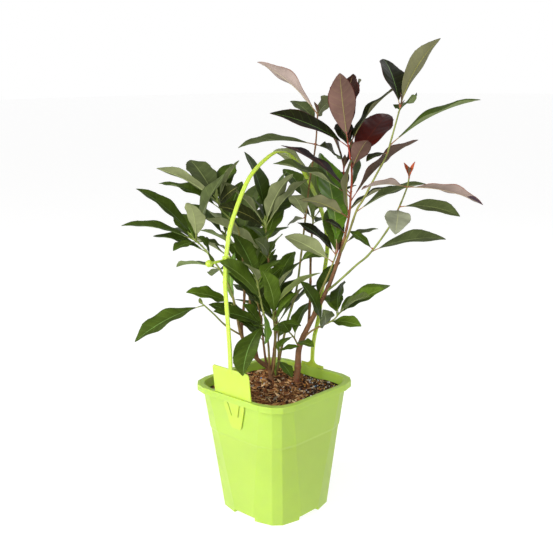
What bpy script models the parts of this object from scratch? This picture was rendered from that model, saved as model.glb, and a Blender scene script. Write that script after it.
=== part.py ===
"""Potted sweet viburnum: a young glossy-leaved shrub in a square lime pot with a clipped-on hoop handle.

The origin is under the middle of the pot, +Z is up, and the pot's flat sides face along X and Y.
The plant is laid out in millimetres as it is seen over the pot's near corner: right, away and up.
"""

import math
import random

import bmesh
import bpy
from mathutils import Matrix, Vector
from mathutils.bvhtree import BVHTree

MM = 0.001
GAP = 0.3 * MM
NAME = "potted_sweet_viburnum"

# Pot: sections are given by the half-width of a main side, half its length, and the corner facet's
# distance from the middle and half its length.
# The sections are as a scratch program's fit to points on the photo's outline gave them, with the rim's
# 100 mm assumed.
POT_HEIGHT = 212 * MM
RIM_DEPTH = 10 * MM
RIM_SECTION = (100 * MM, 60 * MM, 123.9 * MM, 8.8 * MM)
WALL_TOP_SECTION = (92.8 * MM, 55.9 * MM, 114.2 * MM, 7.4 * MM)
WALL_FOOT_SECTION = (74.4 * MM, 19.3 * MM, 84.4 * MM, 8.3 * MM)
WALL_THICKNESS = 1.5 * MM
BASE_THICKNESS = 8 * MM
STEP_TOP = 140 * MM
STEP_FOOT = 136 * MM
STEP_IN = 1 * MM
NOTCH_HEIGHT = 6 * MM
NOTCH_WIDTH = 46 * MM
NOTCH_DEPTH = 14 * MM
SOIL_LEVEL = 198 * MM

# Handle: a flat strip bent to a hoop across the pot, with a plate in front and a foot behind.
STRIP_WIDTH = 7 * MM
STRIP_THICKNESS = 2.4 * MM
HOOP_SKEW = -0.026
# Worked out by a scratch program from places read off the photo, then moved a little by hand.
HOOP_PATH = [(-100, 250), (-101, 294), (-105, 355), (-107, 398), (-101, 446), (-89, 485), (-51, 545),
             (-4, 575), (18, 579), (38, 575), (63, 557), (92, 523), (125, 468), (137, 415), (129, 369),
             (113, 292), (103, 266), (97.5, 240), (96.5, 216)]
PLATE_WIDTH = 79 * MM
PLATE_HEIGHT = 45 * MM
PLATE_THICKNESS = 1.6 * MM
PLATE_AT = Vector((3 * MM, -96 * MM, POT_HEIGHT + GAP))
PLATE_LEAN = math.radians(5.7)
TONGUE_WIDTH = 44 * MM
TONGUE_TIP_WIDTH = 23 * MM
TONGUE_LENGTH = 55 * MM
SLOT_DEPTH = 5 * MM
SLOT_SIDE = 1 * MM
SLOT_OFFSET = 95.9 * MM
FOOT_AT = Vector((-2 * MM, 96.5 * MM, POT_HEIGHT + GAP))
FOOT_WIDTH = 48 * MM
FOOT_HEIGHT = 4.5 * MM
FILLET = 9 * MM
TAB_WIDTH = 26 * MM
TAB_LENGTH = 16 * MM
ARM_HEIGHT = 428 * MM
ARM_REACH = 34 * MM
ARM_THICKNESS = 3.2 * MM
BALL_RADIUS = 5.5 * MM
KNUCKLE = Vector((8.5, 7, 11)) * MM
KNUCKLE_OUT = -104 * MM
SLIT_HALF = 1.2 * MM
SLIT_ENDS = ((13 * MM, -13 * MM), (7 * MM, -34 * MM))
HOOP_SPACING = 12 * MM

# Open space under the hoop that no leaf grows into, from low to high.
HOOP_GAPS = [(Vector((-6, -18, 540)) * MM, Vector((6, 54, 564)) * MM),
             (Vector((-6, -48, 504)) * MM, Vector((6, 0, 540)) * MM),
             (Vector((-6, -72, 450)) * MM, Vector((6, 26, 504)) * MM)]

# How the layout is turned: over the near corner, and a leaf's clock face looks down a little.
VIEW_TURN = math.radians(45)
LEAF_TURN = math.radians(43.3)
LEAF_TILT = math.radians(-12.6)

# Limbs: what each springs from, the points it runs through, and its thickness at foot and tip.
# Where these numbers come from: leaf feet, leaf tips and limbs were read off the photo by eye. Scratch
# programs turned those into the points and rows here, and searched for values that keep leaves apart;
# many were then changed by hand. So the tables aren't all hand-made, as report.md says in full.
LIMBS = {
    "stem_right": (None, [(38, 30, 198), (40, 30, 225), (42, 30, 254), (52, 28, 283), (92, 20, 368),
                          (115, 12, 444)], 10.6, 5.0),
    "stem_left": (None, [(-4, 43, 198), (-4, 43, 208), (-8, 41, 220), (-27, 33, 239), (-50, 20, 279),
                         (-60, 9, 330)], 8.2, 4.4),
    "bough_left_crown": ("stem_left", [(-50, 20, 279), (-51, 22, 300), (-46, 24, 345), (-47, 20, 405),
                                       (-51, 18, 436)], 4.6, 3.4),
    "bough_centre": ("stem_left", [(-5, 43, 214), (0, 49, 232), (5, 50, 291), (0, 46, 340), (-5, 38, 390)],
                     5.0, 3.6),
    "bough_centre_low": ("stem_left", [(-4, 43, 206), (0, 33, 222), (3, 25, 262), (2, 19, 296)], 4.4, 3.4),
    "bough_centre_left": ("stem_left", [(-7, 41, 217), (-7, 31, 233), (-8, 20, 262)], 4.4, 3.6),
    "bough_left_mid": ("stem_left", [(-5, 43, 209), (-12, 50, 228), (-16, 44, 262)], 4.6, 3.6),
    "bough_slender": ("stem_left", [(-4, 43, 202), (6, 41, 216), (14, 45, 254), (25, 50, 300)], 4.6, 3.8),
    "bough_rear_right": ("stem_right", [(58, 27, 297), (63, 58, 345), (66, 92, 392), (70, 114, 436)],
                         4.8, 3.4),
    "bough_rear_left": ("stem_left", [(-26, 33, 238), (-32, 56, 272), (-38, 92, 330), (-40, 112, 375)],
                        4.6, 3.4),
}

# Shoots: the limb each grows on from, the points it runs through, its thickness at the foot, how many
# more pairs of leaves its rule adds, the size of those, and the leaves that the near side shows. A leaf
# is where it grows along the shoot, where it points on a clock face, its lean towards the viewer in
# degrees, its reach in millimetres, and how far its upper face turns from the viewer in degrees.
SHOOTS = {
    "mid_right": ("stem_right", [(66, 26, 316), (72, 10, 346), (83, 4, 374), (92, 3, 396), (101, 2, 420)],
                  3.8, 1, 85, [
        (1.00, 11.75, -18, 176, 44), (0.97, 10.4, -20, 86, 60), (0.86, 9.95, 20, 92, 130),
        (0.24, 1.1, -30, 87, 62)]),
    "top": ("stem_right", [(114, 12, 440), (121, 10, 478), (123, 8, 507), (124, 5, 550), (118, 3, 590)],
            4.2, 1, 95, [
        (1.00, 11.7, 28, 112, 180), (0.99, 0.2, -20, 128, 45), (0.97, 0.4, -25, 154, 78),
        (0.78, 1.2, -35, 142, 30), (0.74, 0.9, 60, 78, 165), (0.96, 1.3, -5, 124, 80),
        (0.50, 11.9, -20, 110, 70), (0.25, 0.1, 20, 96, 106), (0.97, 9.8, 0, 132, 55),
        (0.48, 10.2, 0, 133, 75), (0.45, 9.75, 15, 135, 75), (0.23, 9.6, 30, 98, 115),
        (0.40, 1.6, 5, 142, 101), (0.06, 10.05, 25, 44, 60)]),
    "right_top": ("stem_right", [(106, 16, 412), (118, 7, 444), (132, 4, 487), (142, 0, 505), (160, -6, 542),
                                 (175, -10, 572), (182, -12, 597), (194, -15, 644)], 4.0, 0, 90, [
        (1.00, 11.7, -38, 118, 30), (1.00, 1.0, 15, 116, 120), (0.97, 1.6, -60, 95, 75),
        (0.77, 2.15, 10, 150, 80), (0.72, 8.2, 40, 50, 60), (0.31, 2.3, 5, 117, 75),
        (0.10, 2.25, -20, 64, 72)]),
    "right": ("stem_right", [(85, 21.4, 353), (100, 14, 367), (117, 9, 384), (133, 2, 401), (152, -6, 420),
                             (179, -14, 460), (194, -18, 492), (206, -20, 524), (209, -20, 539)],
              3.8, 0, 85, [
        (0.94, 3.5, 10, 117, 97), (0.94, 8.8, 35, 92, 98), (0.80, 3.4, 25, 96, 55),
        (0.78, 6.7, 62, 95, 15), (0.44, 2.7, 10, 117, 65), (1.00, 0.6, 24, 27, 35),
        (1.00, 11.6, -27, 29, 20), (0.46, 10.35, -15, 48, 42)]),
    "slender": ("bough_slender", [(25, 50, 300), (39, 50, 348), (47, 50, 404), (55, 50, 470),
                                  (63, 48, 536), (71, 45, 585), (74, 40, 634)], 3.7, 1, 90, [
        (1.00, 10.4, 0, 125, 98), (0.98, 1.2, -50, 80, 120), (0.86, 8.9, 10, 124, 70),
        (0.86, 3.6, -60, 84, 55), (0.72, 10.2, -30, 85, 115), (0.51, 10.8, 60, 76, 145),
        (0.51, 8.3, -50, 48, 65), (0.30, 2.55, -40, 64, 55), (0.29, 1.8, 50, 40, 65),
        (0.06, 11.3, -50, 55, 45), (0.06, 1.0, 45, 58, 115)]),
    "centre": ("bough_centre", [(-5, 38, 390), (-6, 36, 404), (-8, 33, 429), (-10, 30, 461)],
               3.5, 2, 100, [
        (1.00, 11.5, -10, 128, 65), (0.98, 0.7, -25, 109, 70), (1.00, 0.9, 14, 112, 105),
        (0.96, 1.4, 0, 103, 102), (0.98, 10.5, 15, 103, 95), (0.94, 9.8, 35, 95, 50),
        (0.96, 11.2, -45, 80, 70), (0.22, 10.1, 5, 124, 105), (0.22, 1.0, -40, 63, 75),
        (0.26, 10.8, 62, 70, 45), (0.02, 0.7, 0, 32, 65)]),
    "left_tip": ("stem_left", [(-60, 9, 330), (-67, 4, 362), (-82, -2, 396), (-108, -10, 435),
                               (-119, -12, 446)], 4.2, 2, 90, [
        (1.00, 9.4, 10, 116, 75), (1.00, 10.4, 0, 123, 70), (1.00, 11.9, 55, 92, 150),
        (1.00, 0.8, -5, 118, 65), (0.98, 8.2, 50, 55, 55), (0.98, 3.5, -50, 68, 75),
        (0.80, 9.6, 5, 88, 70), (0.76, 11.2, 45, 45, 70), (0.92, 5.0, 40, 51, 85),
        (0.04, 12.0, -13, 90, 55), (0.03, 9.65, 35, 94, 65)]),
    "left_crown": ("bough_left_crown", [(-51, 18, 436), (-54, 22, 459), (-66, 24, 474), (-80, 26, 488),
                                        (-84, 27, 499)], 3.3, 1, 90, [
        (1.00, 10.0, 0, 112, 106), (0.86, 9.8, -15, 115, 70), (1.00, 10.9, -35, 112, 36),
        (0.98, 0.85, -5, 77, 97), (0.96, 1.8, 50, 62, 30), (0.86, 3.55, 55, 34, 70)]),
    "centre_left": ("bough_centre_left", [(-8, 20, 262), (-12, -2, 306), (-19, -22, 346), (-25, -34, 383)],
                    3.5, 0, 80, [
        (1.00, 11.15, -20, 91, 45), (0.40, 6.85, 45, 134, 50), (0.75, 10.55, 48, 124, 66),
        (0.98, 10.95, 58, 72, 114), (0.97, 1.4, -45, 76, 60), (0.92, 10.4, -30, 76, 75),
        (0.34, 9.6, 15, 90, 62), (0.26, 9.9, 25, 58, 70), (0.12, 10.25, 30, 72, 60),
        (0.60, 5.9, 30, 58, 65)]),
    "left_low": ("stem_left", [(-51, 19, 283), (-76, 5, 304), (-95, -5, 327), (-109, -12, 343)],
                 3.0, 0, 80, [
        (1.00, 8.1, 15, 122, 60)]),
    "left_mid": ("bough_left_mid", [(-16, 44, 262), (-19, 36, 300), (-27, 28, 352), (-29, 25, 387)],
                 3.5, 4, 85, [
        (0.13, 10.0, 5, 102, 60), (1.00, 11.5, -35, 100, 28), (1.00, 0.8, 20, 79, 86),
        (0.70, 1.5, 20, 70, 60), (0.62, 10.5, 35, 76, 57), (0.03, 10.45, 0, 75, 55),
        (0.10, 11.05, 35, 77, 60)]),
    "centre_low": ("bough_centre_low", [(2, 19, 296), (0, 16, 316), (-1, 15, 332)], 3.3, 2, 85, [
        (1.00, 0.95, 25, 76, 104), (0.92, 1.1, -25, 103, 73),
        (0.94, 1.8, 15, 98, 105), (0.30, 10.8, 15, 62, 60), (0.30, 1.3, 10, 60, 60),
        (0.12, 3.05, 20, 46, 60), (0.12, 1.0, 0, 32, 70), (0.55, 11.6, 40, 98, 44)]),
    "right_low": ("stem_right", [(46, 29, 268), (62, 18, 289), (94, 2, 310), (104, -5, 323)],
                  3.2, 1, 80, [
        (1.00, 2.1, -20, 104, 65), (1.00, 2.0, 25, 88, 60), (0.98, 1.85, 50, 83, 80),
        (0.74, 3.2, 45, 66, 50), (0.60, 11.7, 70, 80, 35), (0.98, 0.5, -50, 84, 60),
        (0.56, 11.15, 30, 92, 60)]),
    "low": ("stem_right", [(42, 30, 258), (34, 24, 276), (24, 17, 290)], 2.8, 0, 55, [
        (1.00, 9.4, 20, 41, 52), (0.62, 7.9, 45, 40, 65), (0.50, 0.9, -45, 92, 60),
        (0.90, 11.0, 60, 44, 0), (0.24, 3.2, 60, 52, 60)]),
    "foot": ("bough_slender", [(9, 42, 229), (8, 34, 240), (8, 27, 252)], 2.8, 0, 50, [
        (0.15, 4.6, 46, 46, 40), (0.28, 6.3, 20, 28, 80), (1.00, 2.55, 5, 35, 60)]),
    "rear_right": ("bough_rear_right", [(70, 114, 436), (73, 127, 452), (76, 140, 470)], 3.3, 4, 96, []),
    "rear_left": ("bough_rear_left", [(-40, 112, 375), (-43, 122, 400), (-48, 136, 432)], 3.3, 5, 105, []),
    "rear_low": ("bough_slender", [(9, 43, 228), (10, 62, 250), (8, 88, 292), (4, 104, 330)],
                 3.2, 4, 95, []),
    "rear_crown": ("bough_left_crown", [(-47, 21, 366), (-57, 44, 384), (-70, 70, 410), (-76, 84, 434)],
                   3.0, 4, 95, []),
    "rear_top": ("stem_right", [(108, 15, 420), (114, 40, 460), (118, 66, 505), (120, 82, 545)],
                 3.3, 3, 95, []),
}

COPPER_SHOOTS = ("top", "right")

# Limbs: spacing of their rings, the tip of a shoot, and the flare at the soil and how fast it fades.
LIMB_SPACING = 14 * MM
SHOOT_TIP = 2.4 * MM
FLARE = 0.5 * MM
FLARE_FADE = 9
STEM_SUNK = 5 * MM

# Leaves, as shares of their reach: stalk, blade width, fold, thickness and arch.
PETIOLE = 0.12
BLADE_RATIO = 0.39
BLADE_FOLD = 0.22
BLADE_THICKNESS = 0.0125
BLADE_ARCH = 0.075
STALK = 1.1 * MM
COARSE_STATIONS = (0.0, 0.2, 0.5, 0.8)
WIDTH_SPREAD = 0.06

# Placing: how near a leaf comes to another, and to the soil, from which share of its stalk it is
# tested, and how far its clock hour, lean, face (degrees) and reach may be nudged.
LEAF_CLEARANCE = 0.7 * MM
SOIL_CLEARANCE = 4 * MM
STALK_START = 0.2
BLADE_START = 0.8
LEAF_TRIES = 60
NUDGE_CLOCK = 0.3
NUDGE_LEAN = 40
NUDGE_FACE = 40
NUDGE_REACH = 0.15

# The rule for pairs: where they sit, their spread from the shoot, and how they keep to the far side.
FREE_SHARES = (1.0, 0.86)
REAR_SHARES = (0.95, 0.8)
PAIR_TURN = 90
PAIR_JITTER = 0.4
SPREAD_FOOT = 72
SPREAD_LOSS = 34
NUDGE_SPREAD = 16
NUDGE_TURN = 0.5
RULE_REACH = (0.86, 1.1)
RULE_ROLL = 0.25
REAR_LEAST = 0.45
REAR_AIM = 0.75
SEED = 41


def material(name, colour, roughness):
    """A plain material of the part's colour."""
    made = bpy.data.materials.new(name)
    made.use_nodes = True
    shader = made.node_tree.nodes["Principled BSDF"]
    shader.inputs["Base Color"].default_value = (*colour, 1.0)
    shader.inputs["Roughness"].default_value = roughness
    return made


def new_object(name, mesh, home, finish=None):
    made = bpy.data.objects.new(name, mesh)
    home.objects.link(made)
    if finish:
        mesh.materials.append(finish)
    return made


def loft_mesh(name, rings):
    """A closed mesh through rings of points; a last ring of one point is a tip."""
    bm = bmesh.new()
    rows = [[bm.verts.new(point) for point in ring] for ring in rings]
    bm.faces.new(rows[0])
    for lower, upper in zip(rows, rows[1:]):
        count = len(lower)
        for i in range(count):
            j = (i + 1) % count
            if len(upper) == 1:
                bm.faces.new((lower[i], lower[j], upper[0]))
            else:
                bm.faces.new((lower[i], lower[j], upper[j], upper[i]))
    if len(rows[-1]) > 1:
        bm.faces.new(rows[-1])
    bmesh.ops.recalc_face_normals(bm, faces=bm.faces)
    mesh = bpy.data.meshes.new(name)
    bm.to_mesh(mesh)
    bm.free()
    return mesh


def box_mesh(name, low, high):
    bm = bmesh.new()
    bmesh.ops.create_cube(bm, size=1.0)
    size = high - low
    bmesh.ops.transform(bm, matrix=Matrix.Diagonal((*size, 1)), verts=bm.verts)
    bmesh.ops.translate(bm, vec=(low + high) / 2, verts=bm.verts)
    mesh = bpy.data.meshes.new(name)
    bm.to_mesh(mesh)
    bm.free()
    return mesh


def evaluated_mesh(made):
    bpy.context.view_layer.update()
    graph = bpy.context.evaluated_depsgraph_get()
    return bpy.data.meshes.new_from_object(made.evaluated_get(graph), depsgraph=graph)


def curve_to_mesh(curve_object):
    """A curve's mesh with its caps welded on, in place of the curve."""
    mesh = evaluated_mesh(curve_object)
    bm = bmesh.new()
    bm.from_mesh(mesh)
    bmesh.ops.transform(bm, matrix=curve_object.matrix_world, verts=bm.verts)
    bmesh.ops.remove_doubles(bm, verts=bm.verts, dist=0.002 * MM)
    bmesh.ops.recalc_face_normals(bm, faces=bm.faces)
    bm.to_mesh(mesh)
    bm.free()
    bpy.data.objects.remove(curve_object)
    return mesh


def keep_largest(mesh):
    """Drops any scrap that a cut has left loose."""
    bm = bmesh.new()
    bm.from_mesh(mesh)
    left, islands = set(bm.verts), []
    while left:
        island, open_ends = set(), [left.pop()]
        while open_ends:
            vert = open_ends.pop()
            island.add(vert)
            for edge in vert.link_edges:
                other = edge.other_vert(vert)
                if other in left:
                    left.remove(other)
                    open_ends.append(other)
        islands.append(island)
    largest = max(islands, key=len)
    scraps = [vert for island in islands if island is not largest for vert in island]
    bmesh.ops.delete(bm, geom=scraps, context="VERTS")
    bm.to_mesh(mesh)
    bm.free()


def combine(made, pieces, operation):
    """Joins the pieces to an object, or cuts them out of it, in one Boolean that is applied."""
    group = bpy.data.collections.new("pieces")
    bpy.context.scene.collection.children.link(group)
    for piece in pieces:
        for home in list(piece.users_collection):
            home.objects.unlink(piece)
        group.objects.link(piece)
    boolean = made.modifiers.new("Combine", "BOOLEAN")
    boolean.operation = operation
    boolean.operand_type = "COLLECTION"
    boolean.collection = group
    boolean.solver = "EXACT"
    mesh = evaluated_mesh(made)
    made.modifiers.remove(boolean)
    made.data = mesh
    keep_largest(mesh)
    for piece in pieces:
        bpy.data.objects.remove(piece)
    bpy.data.collections.remove(group)


def smooth_path(points, spacing):
    """Even points on a smooth curve through the given ones."""
    ends = [2 * points[0] - points[1], *points, 2 * points[-1] - points[-2]]
    path = []
    for a, b, c, d in zip(ends, ends[1:], ends[2:], ends[3:]):
        steps = max(1, round((c - b).length / spacing))
        for i in range(steps):
            t = i / steps
            path.append(0.5 * (2 * b + (c - a) * t + (2 * a - 5 * b + 4 * c - d) * t * t
                               + (3 * b - a - 3 * c + d) * t ** 3))
    path.append(points[-1])
    return path


def pot_section(section, height, inset=0.0):
    """The pot's outline at one height: four main sides, four corner facets and the facets between."""
    side, half, corner, facet = (size * (1 - inset / section[0]) for size in section)
    root = math.sqrt(2)
    quarter = [(side, half), ((corner + facet) / root, (corner - facet) / root),
               ((corner - facet) / root, (corner + facet) / root), (half, side)]
    turns = [Matrix.Rotation(math.radians(90 * i), 2) for i in range(4)]
    return [Vector((*(turn @ Vector(point)), height)) for turn in turns for point in quarter]


def wall_section(height, inset=0.0):
    t = height / (POT_HEIGHT - RIM_DEPTH)
    blend = [foot + (top - foot) * t for foot, top in zip(WALL_FOOT_SECTION, WALL_TOP_SECTION)]
    return pot_section(blend, height, inset)


def build_pot(home, cutters, finish):
    """A tapered shell, notched along the foot of each side and slotted through the rim for the handle."""
    under_rim = POT_HEIGHT - RIM_DEPTH
    inner_rim = pot_section(WALL_TOP_SECTION, POT_HEIGHT, WALL_THICKNESS)
    rings = [wall_section(BASE_THICKNESS, WALL_THICKNESS + STEP_IN), inner_rim,
             pot_section(RIM_SECTION, POT_HEIGHT), pot_section(RIM_SECTION, under_rim),
             wall_section(under_rim), wall_section(STEP_TOP), wall_section(STEP_FOOT, STEP_IN),
             wall_section(0.0)]
    pot = new_object("pot", loft_mesh("pot", rings), home, finish)
    notch_face = WALL_FOOT_SECTION[0] - NOTCH_DEPTH
    for i in range(4):
        low = Vector((notch_face, -NOTCH_WIDTH / 2, -NOTCH_HEIGHT))
        high = Vector((notch_face + 2 * NOTCH_DEPTH, NOTCH_WIDTH / 2, NOTCH_HEIGHT))
        turn = Matrix.Rotation(math.radians(90 * i), 4, "Z")
        cut(pot, box_mesh("notch", low, high), f"notch_{i}", cutters, turn)
    slots = (("front", PLATE_AT.x, -SLOT_OFFSET, TONGUE_WIDTH), ("back", FOOT_AT.x, SLOT_OFFSET, TAB_WIDTH))
    for label, x, y, width in slots:
        half = Vector((width / 2 + SLOT_SIDE, SLOT_DEPTH / 2, RIM_DEPTH))
        at = Vector((x, y, POT_HEIGHT - RIM_DEPTH / 2))
        cut(pot, box_mesh("slot", at - half, at + half), f"slot_{label}", cutters)


def cut(made, mesh, name, cutters, place=None):
    """A Boolean cut by a hidden cutter, which stays in the cutters' collection."""
    cutter = new_object(name, mesh, cutters)
    cutter.matrix_world = place or Matrix()
    cutter.hide_render = True
    cutter.display_type = "WIRE"
    boolean = made.modifiers.new(name, "BOOLEAN")
    boolean.object = cutter


def build_potting_mix(home, finish):
    clear = WALL_THICKNESS + STEP_IN + GAP
    rings = [wall_section(BASE_THICKNESS + GAP, clear + GAP), wall_section(SOIL_LEVEL, clear)]
    new_object("potting_mix", loft_mesh("potting_mix", rings), home, finish)


def flat_outline(name, outlines, thickness, place):
    """A plate cut to its outlines: the first is its edge, the others are holes."""
    data = bpy.data.curves.new(name, "CURVE")
    data.dimensions = "2D"
    data.fill_mode = "BOTH"
    data.extrude = thickness / 2
    for outline in outlines:
        spline = data.splines.new("POLY")
        spline.points.add(len(outline) - 1)
        for point, (x, y) in zip(spline.points, outline):
            point.co = (x, y, 0, 1)
        spline.use_cyclic_u = True
    made = bpy.data.objects.new(name, data)
    bpy.context.scene.collection.objects.link(made)
    made.matrix_world = place
    return made


def hoop_outline():
    """The strip's two edges, seen from the side of the hoop."""
    path = smooth_path([Vector((y, z)) * MM for y, z in HOOP_PATH], HOOP_SPACING)
    edges = ([], [])
    for i, point in enumerate(path):
        along = (path[min(i + 1, len(path) - 1)] - path[max(i - 1, 0)]).normalized()
        across = Vector((-along.y, along.x)) * STRIP_THICKNESS / 2
        edges[0].append(point + across)
        edges[1].append(point - across)
    return edges[0] + edges[1][::-1]


def plate_outline():
    """The blank plate, its shoulders on the rim, and the tongue that goes down outside the wall."""
    half, tongue, tip = PLATE_WIDTH / 2, TONGUE_WIDTH / 2, TONGUE_TIP_WIDTH / 2
    corner = 3 * MM
    right = [(half - corner, PLATE_HEIGHT), (half, PLATE_HEIGHT - corner), (half, 0), (tongue, 0),
             (tongue, -RIM_DEPTH - 8 * MM), (tip, -TONGUE_LENGTH + corner), (tip - corner, -TONGUE_LENGTH)]
    return right + [(-x, y) for x, y in reversed(right)]


def tongue_slot(side):
    """A narrow slot beside the tongue's middle rib."""
    (top_x, top), (foot_x, foot) = SLIT_ENDS
    return [(side * top_x - SLIT_HALF, top), (side * top_x + SLIT_HALF, top),
            (side * foot_x + SLIT_HALF, foot), (side * foot_x - SLIT_HALF, foot)]


def foot_outline():
    """The back foot: a thin bar on the rim, filleted up to the leg, and the tab that goes through the rim."""
    half, tab, leg = FOOT_WIDTH / 2, TAB_WIDTH / 2, STRIP_WIDTH / 2
    turns = [math.radians(22.5 * i) for i in range(5)]
    fillet = [(leg + FILLET * (1 - math.cos(turn)), FOOT_HEIGHT + FILLET * (1 - math.sin(turn)))
              for turn in turns]
    right = [*fillet, (half, FOOT_HEIGHT), (half, 0), (tab, 0), (tab, -TAB_LENGTH)]
    return right + [(-x, y) for x, y in reversed(right)]


def build_handle(home, finish):
    """The hoop, its plate, foot, knuckle and peg, moulded as one."""
    side_on = Matrix.Rotation(math.radians(90), 4, "Z") @ Matrix.Rotation(math.radians(90), 4, "X")
    upright = Matrix.Rotation(math.radians(90), 4, "X")
    hoop_mesh = curve_to_mesh(flat_outline("hoop", [hoop_outline()], STRIP_WIDTH, side_on))
    hoop_middle = (PLATE_AT.x + FOOT_AT.x) / 2
    for vert in hoop_mesh.vertices:
        vert.co.x += hoop_middle + HOOP_SKEW * vert.co.y
    handle = new_object("handle", hoop_mesh, home, finish)
    lean = Matrix.Translation(PLATE_AT) @ Matrix.Rotation(PLATE_LEAN, 4, "X") @ upright
    plate = flat_outline("plate", [plate_outline(), tongue_slot(-1), tongue_slot(1)], PLATE_THICKNESS, lean)
    foot = flat_outline("foot", [foot_outline()], PLATE_THICKNESS, Matrix.Translation(FOOT_AT) @ upright)
    knuckle_at = Vector((hoop_middle + HOOP_SKEW * KNUCKLE_OUT, KNUCKLE_OUT, ARM_HEIGHT))
    arm_end = knuckle_at - Vector((0, ARM_REACH, 0))
    thick = Vector((ARM_THICKNESS / 2, 0, ARM_THICKNESS / 2))
    bm = bmesh.new()
    bmesh.ops.create_uvsphere(bm, u_segments=12, v_segments=8, radius=BALL_RADIUS,
                              matrix=Matrix.Translation(arm_end))
    ball = bpy.data.meshes.new("ball")
    bm.to_mesh(ball)
    bm.free()
    ball.shade_smooth()
    meshes = [curve_to_mesh(plate), curve_to_mesh(foot), ball,
              box_mesh("knuckle", knuckle_at - KNUCKLE / 2, knuckle_at + KNUCKLE / 2),
              box_mesh("arm", arm_end - thick, knuckle_at + thick)]
    scene_home = bpy.context.scene.collection
    combine(handle, [new_object(mesh.name, mesh, scene_home) for mesh in meshes], "UNION")


def placed(point):
    """A point of the layout, turned and scaled to the frame of the part."""
    return Matrix.Rotation(VIEW_TURN, 3, "Z") @ Vector(point) * MM


def limb_path(points):
    return smooth_path([placed(point) for point in points], LIMB_SPACING)


def limb_mesh(name, path, foot, tip, flare=0.0, grow=0.0):
    """A round tapering limb. A flare widens its first stretch; growth makes a copy that clears it."""
    path = list(path)
    if grow:
        path[-1] = path[-1] + (path[-1] - path[-2]).normalized() * grow
    data = bpy.data.curves.new(name, "CURVE")
    data.dimensions = "3D"
    data.bevel_depth = 1.0
    data.bevel_resolution = 1
    data.use_fill_caps = True
    spline = data.splines.new("POLY")
    spline.points.add(len(path) - 1)
    for i, (point, at) in enumerate(zip(spline.points, path)):
        t = i / (len(path) - 1)
        point.co = (*at, 1)
        point.radius = (foot + (tip - foot) * t) / 2 + flare * math.exp(-FLARE_FADE * t) + grow
    made = bpy.data.objects.new(name, data)
    bpy.context.scene.collection.objects.link(made)
    mesh = curve_to_mesh(made)
    mesh.shade_smooth()
    return mesh


class Leaf:
    """A leaf's foot on its shoot, the way to its tip, the way its upper face looks, and its reach."""

    def __init__(self, foot, aim, face, reach, width):
        self.foot, self.aim, self.face, self.reach, self.width = foot, aim, face, reach, width
        self.side = aim.cross(face)

    def middle(self, t):
        """The midrib, which arches towards the leaf's upper face."""
        return self.foot + self.reach * (self.aim * t + self.face * BLADE_ARCH * 4 * t * (1 - t))

    def ring(self, u, grow):
        """The blade's edges, midrib and back at one station of the blade."""
        t = PETIOLE + (1 - PETIOLE) * u
        half = max(STALK, self.width / 2 * half_width(u)) + grow
        rise = BLADE_FOLD * half if u > 0 else 0.0
        thick = max(STALK, BLADE_THICKNESS * self.reach) + grow
        slope = BLADE_ARCH * 4 * (1 - 2 * t)
        along = (self.aim + self.face * slope).normalized()
        up = self.side.cross(along)
        at = self.middle(t)
        return [at - self.side * half + up * rise, at + up * (STALK / 3 + grow),
                at + self.side * half + up * rise, at - up * thick]

    def rings(self, grow=0.0, start=0.0):
        at = self.middle(start * PETIOLE)
        size = STALK + grow
        root = [at - self.side * size, at + self.face * size, at + self.side * size, at - self.face * size]
        blade = [self.ring(u, grow) for u in COARSE_STATIONS]
        return [root, *blade, [self.middle(1.0) + self.aim * grow]]


def half_width(u):
    """How wide the blade is at one station, as a share of its greatest: widest past the middle."""
    return math.sin(math.pi * u ** 1.1) ** 0.85 if 0 < u < 1 else 0.0


class Obstacle:
    """Something placed: its surface and its box, for the test that a new leaf touches nothing."""

    def __init__(self, owner, vertices, faces):
        self.owner = owner
        self.tree = BVHTree.FromPolygons(vertices, faces)
        self.low = Vector(map(min, zip(*vertices)))
        self.high = Vector(map(max, zip(*vertices)))

    def meets(self, other):
        apart = any(self.low[i] > other.high[i] or self.high[i] < other.low[i] for i in range(3))
        return not apart and bool(self.tree.overlap(other.tree))


def obstacle_of(owner, mesh):
    return Obstacle(owner, [vert.co.copy() for vert in mesh.vertices],
                    [list(polygon.vertices) for polygon in mesh.polygons])


def leaf_obstacle(owner, leaf, start):
    """A leaf as an obstacle, a little larger than life, from some way along its stalk."""
    rings = leaf.rings(LEAF_CLEARANCE, start)
    points = [point for ring in rings for point in ring]
    faces = []
    for row in range(len(rings) - 1):
        for i in range(4):
            j = (i + 1) % 4
            a, b = 4 * row + i, 4 * row + j
            upper = [4 * row + 4] if len(rings[row + 1]) == 1 else [4 * row + 4 + j, 4 * row + 4 + i]
            faces.append([a, b, *upper])
    return Obstacle(owner, points, faces)


def clock_aim(clock, toward):
    """A direction from an hour on the clock face and a lean towards the viewer."""
    turn = math.radians(30 * clock)
    lean = math.radians(toward)
    return seen(math.cos(lean) * math.sin(turn), -math.sin(lean), math.cos(lean) * math.cos(turn))


def seen(right, away, up):
    """A direction given as the viewer sees it, who looks down a little."""
    look = Matrix.Rotation(LEAF_TURN, 3, "Z") @ Matrix.Rotation(LEAF_TILT, 3, "X")
    return look @ Vector((right, away, up))


def square_to(aim, way):
    """The part of a direction that is square to the aim."""
    return (way - aim * way.dot(aim)).normalized()


def along_path(path, share):
    """The point at a share of the path's length, and the way the path runs there."""
    lengths = [(b - a).length for a, b in zip(path, path[1:])]
    left = share * sum(lengths)
    for i, length in enumerate(lengths):
        if left <= length or i == len(lengths) - 1:
            way = (path[i + 1] - path[i]).normalized()
            return path[i] + way * min(left, length), way
        left -= length


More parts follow.
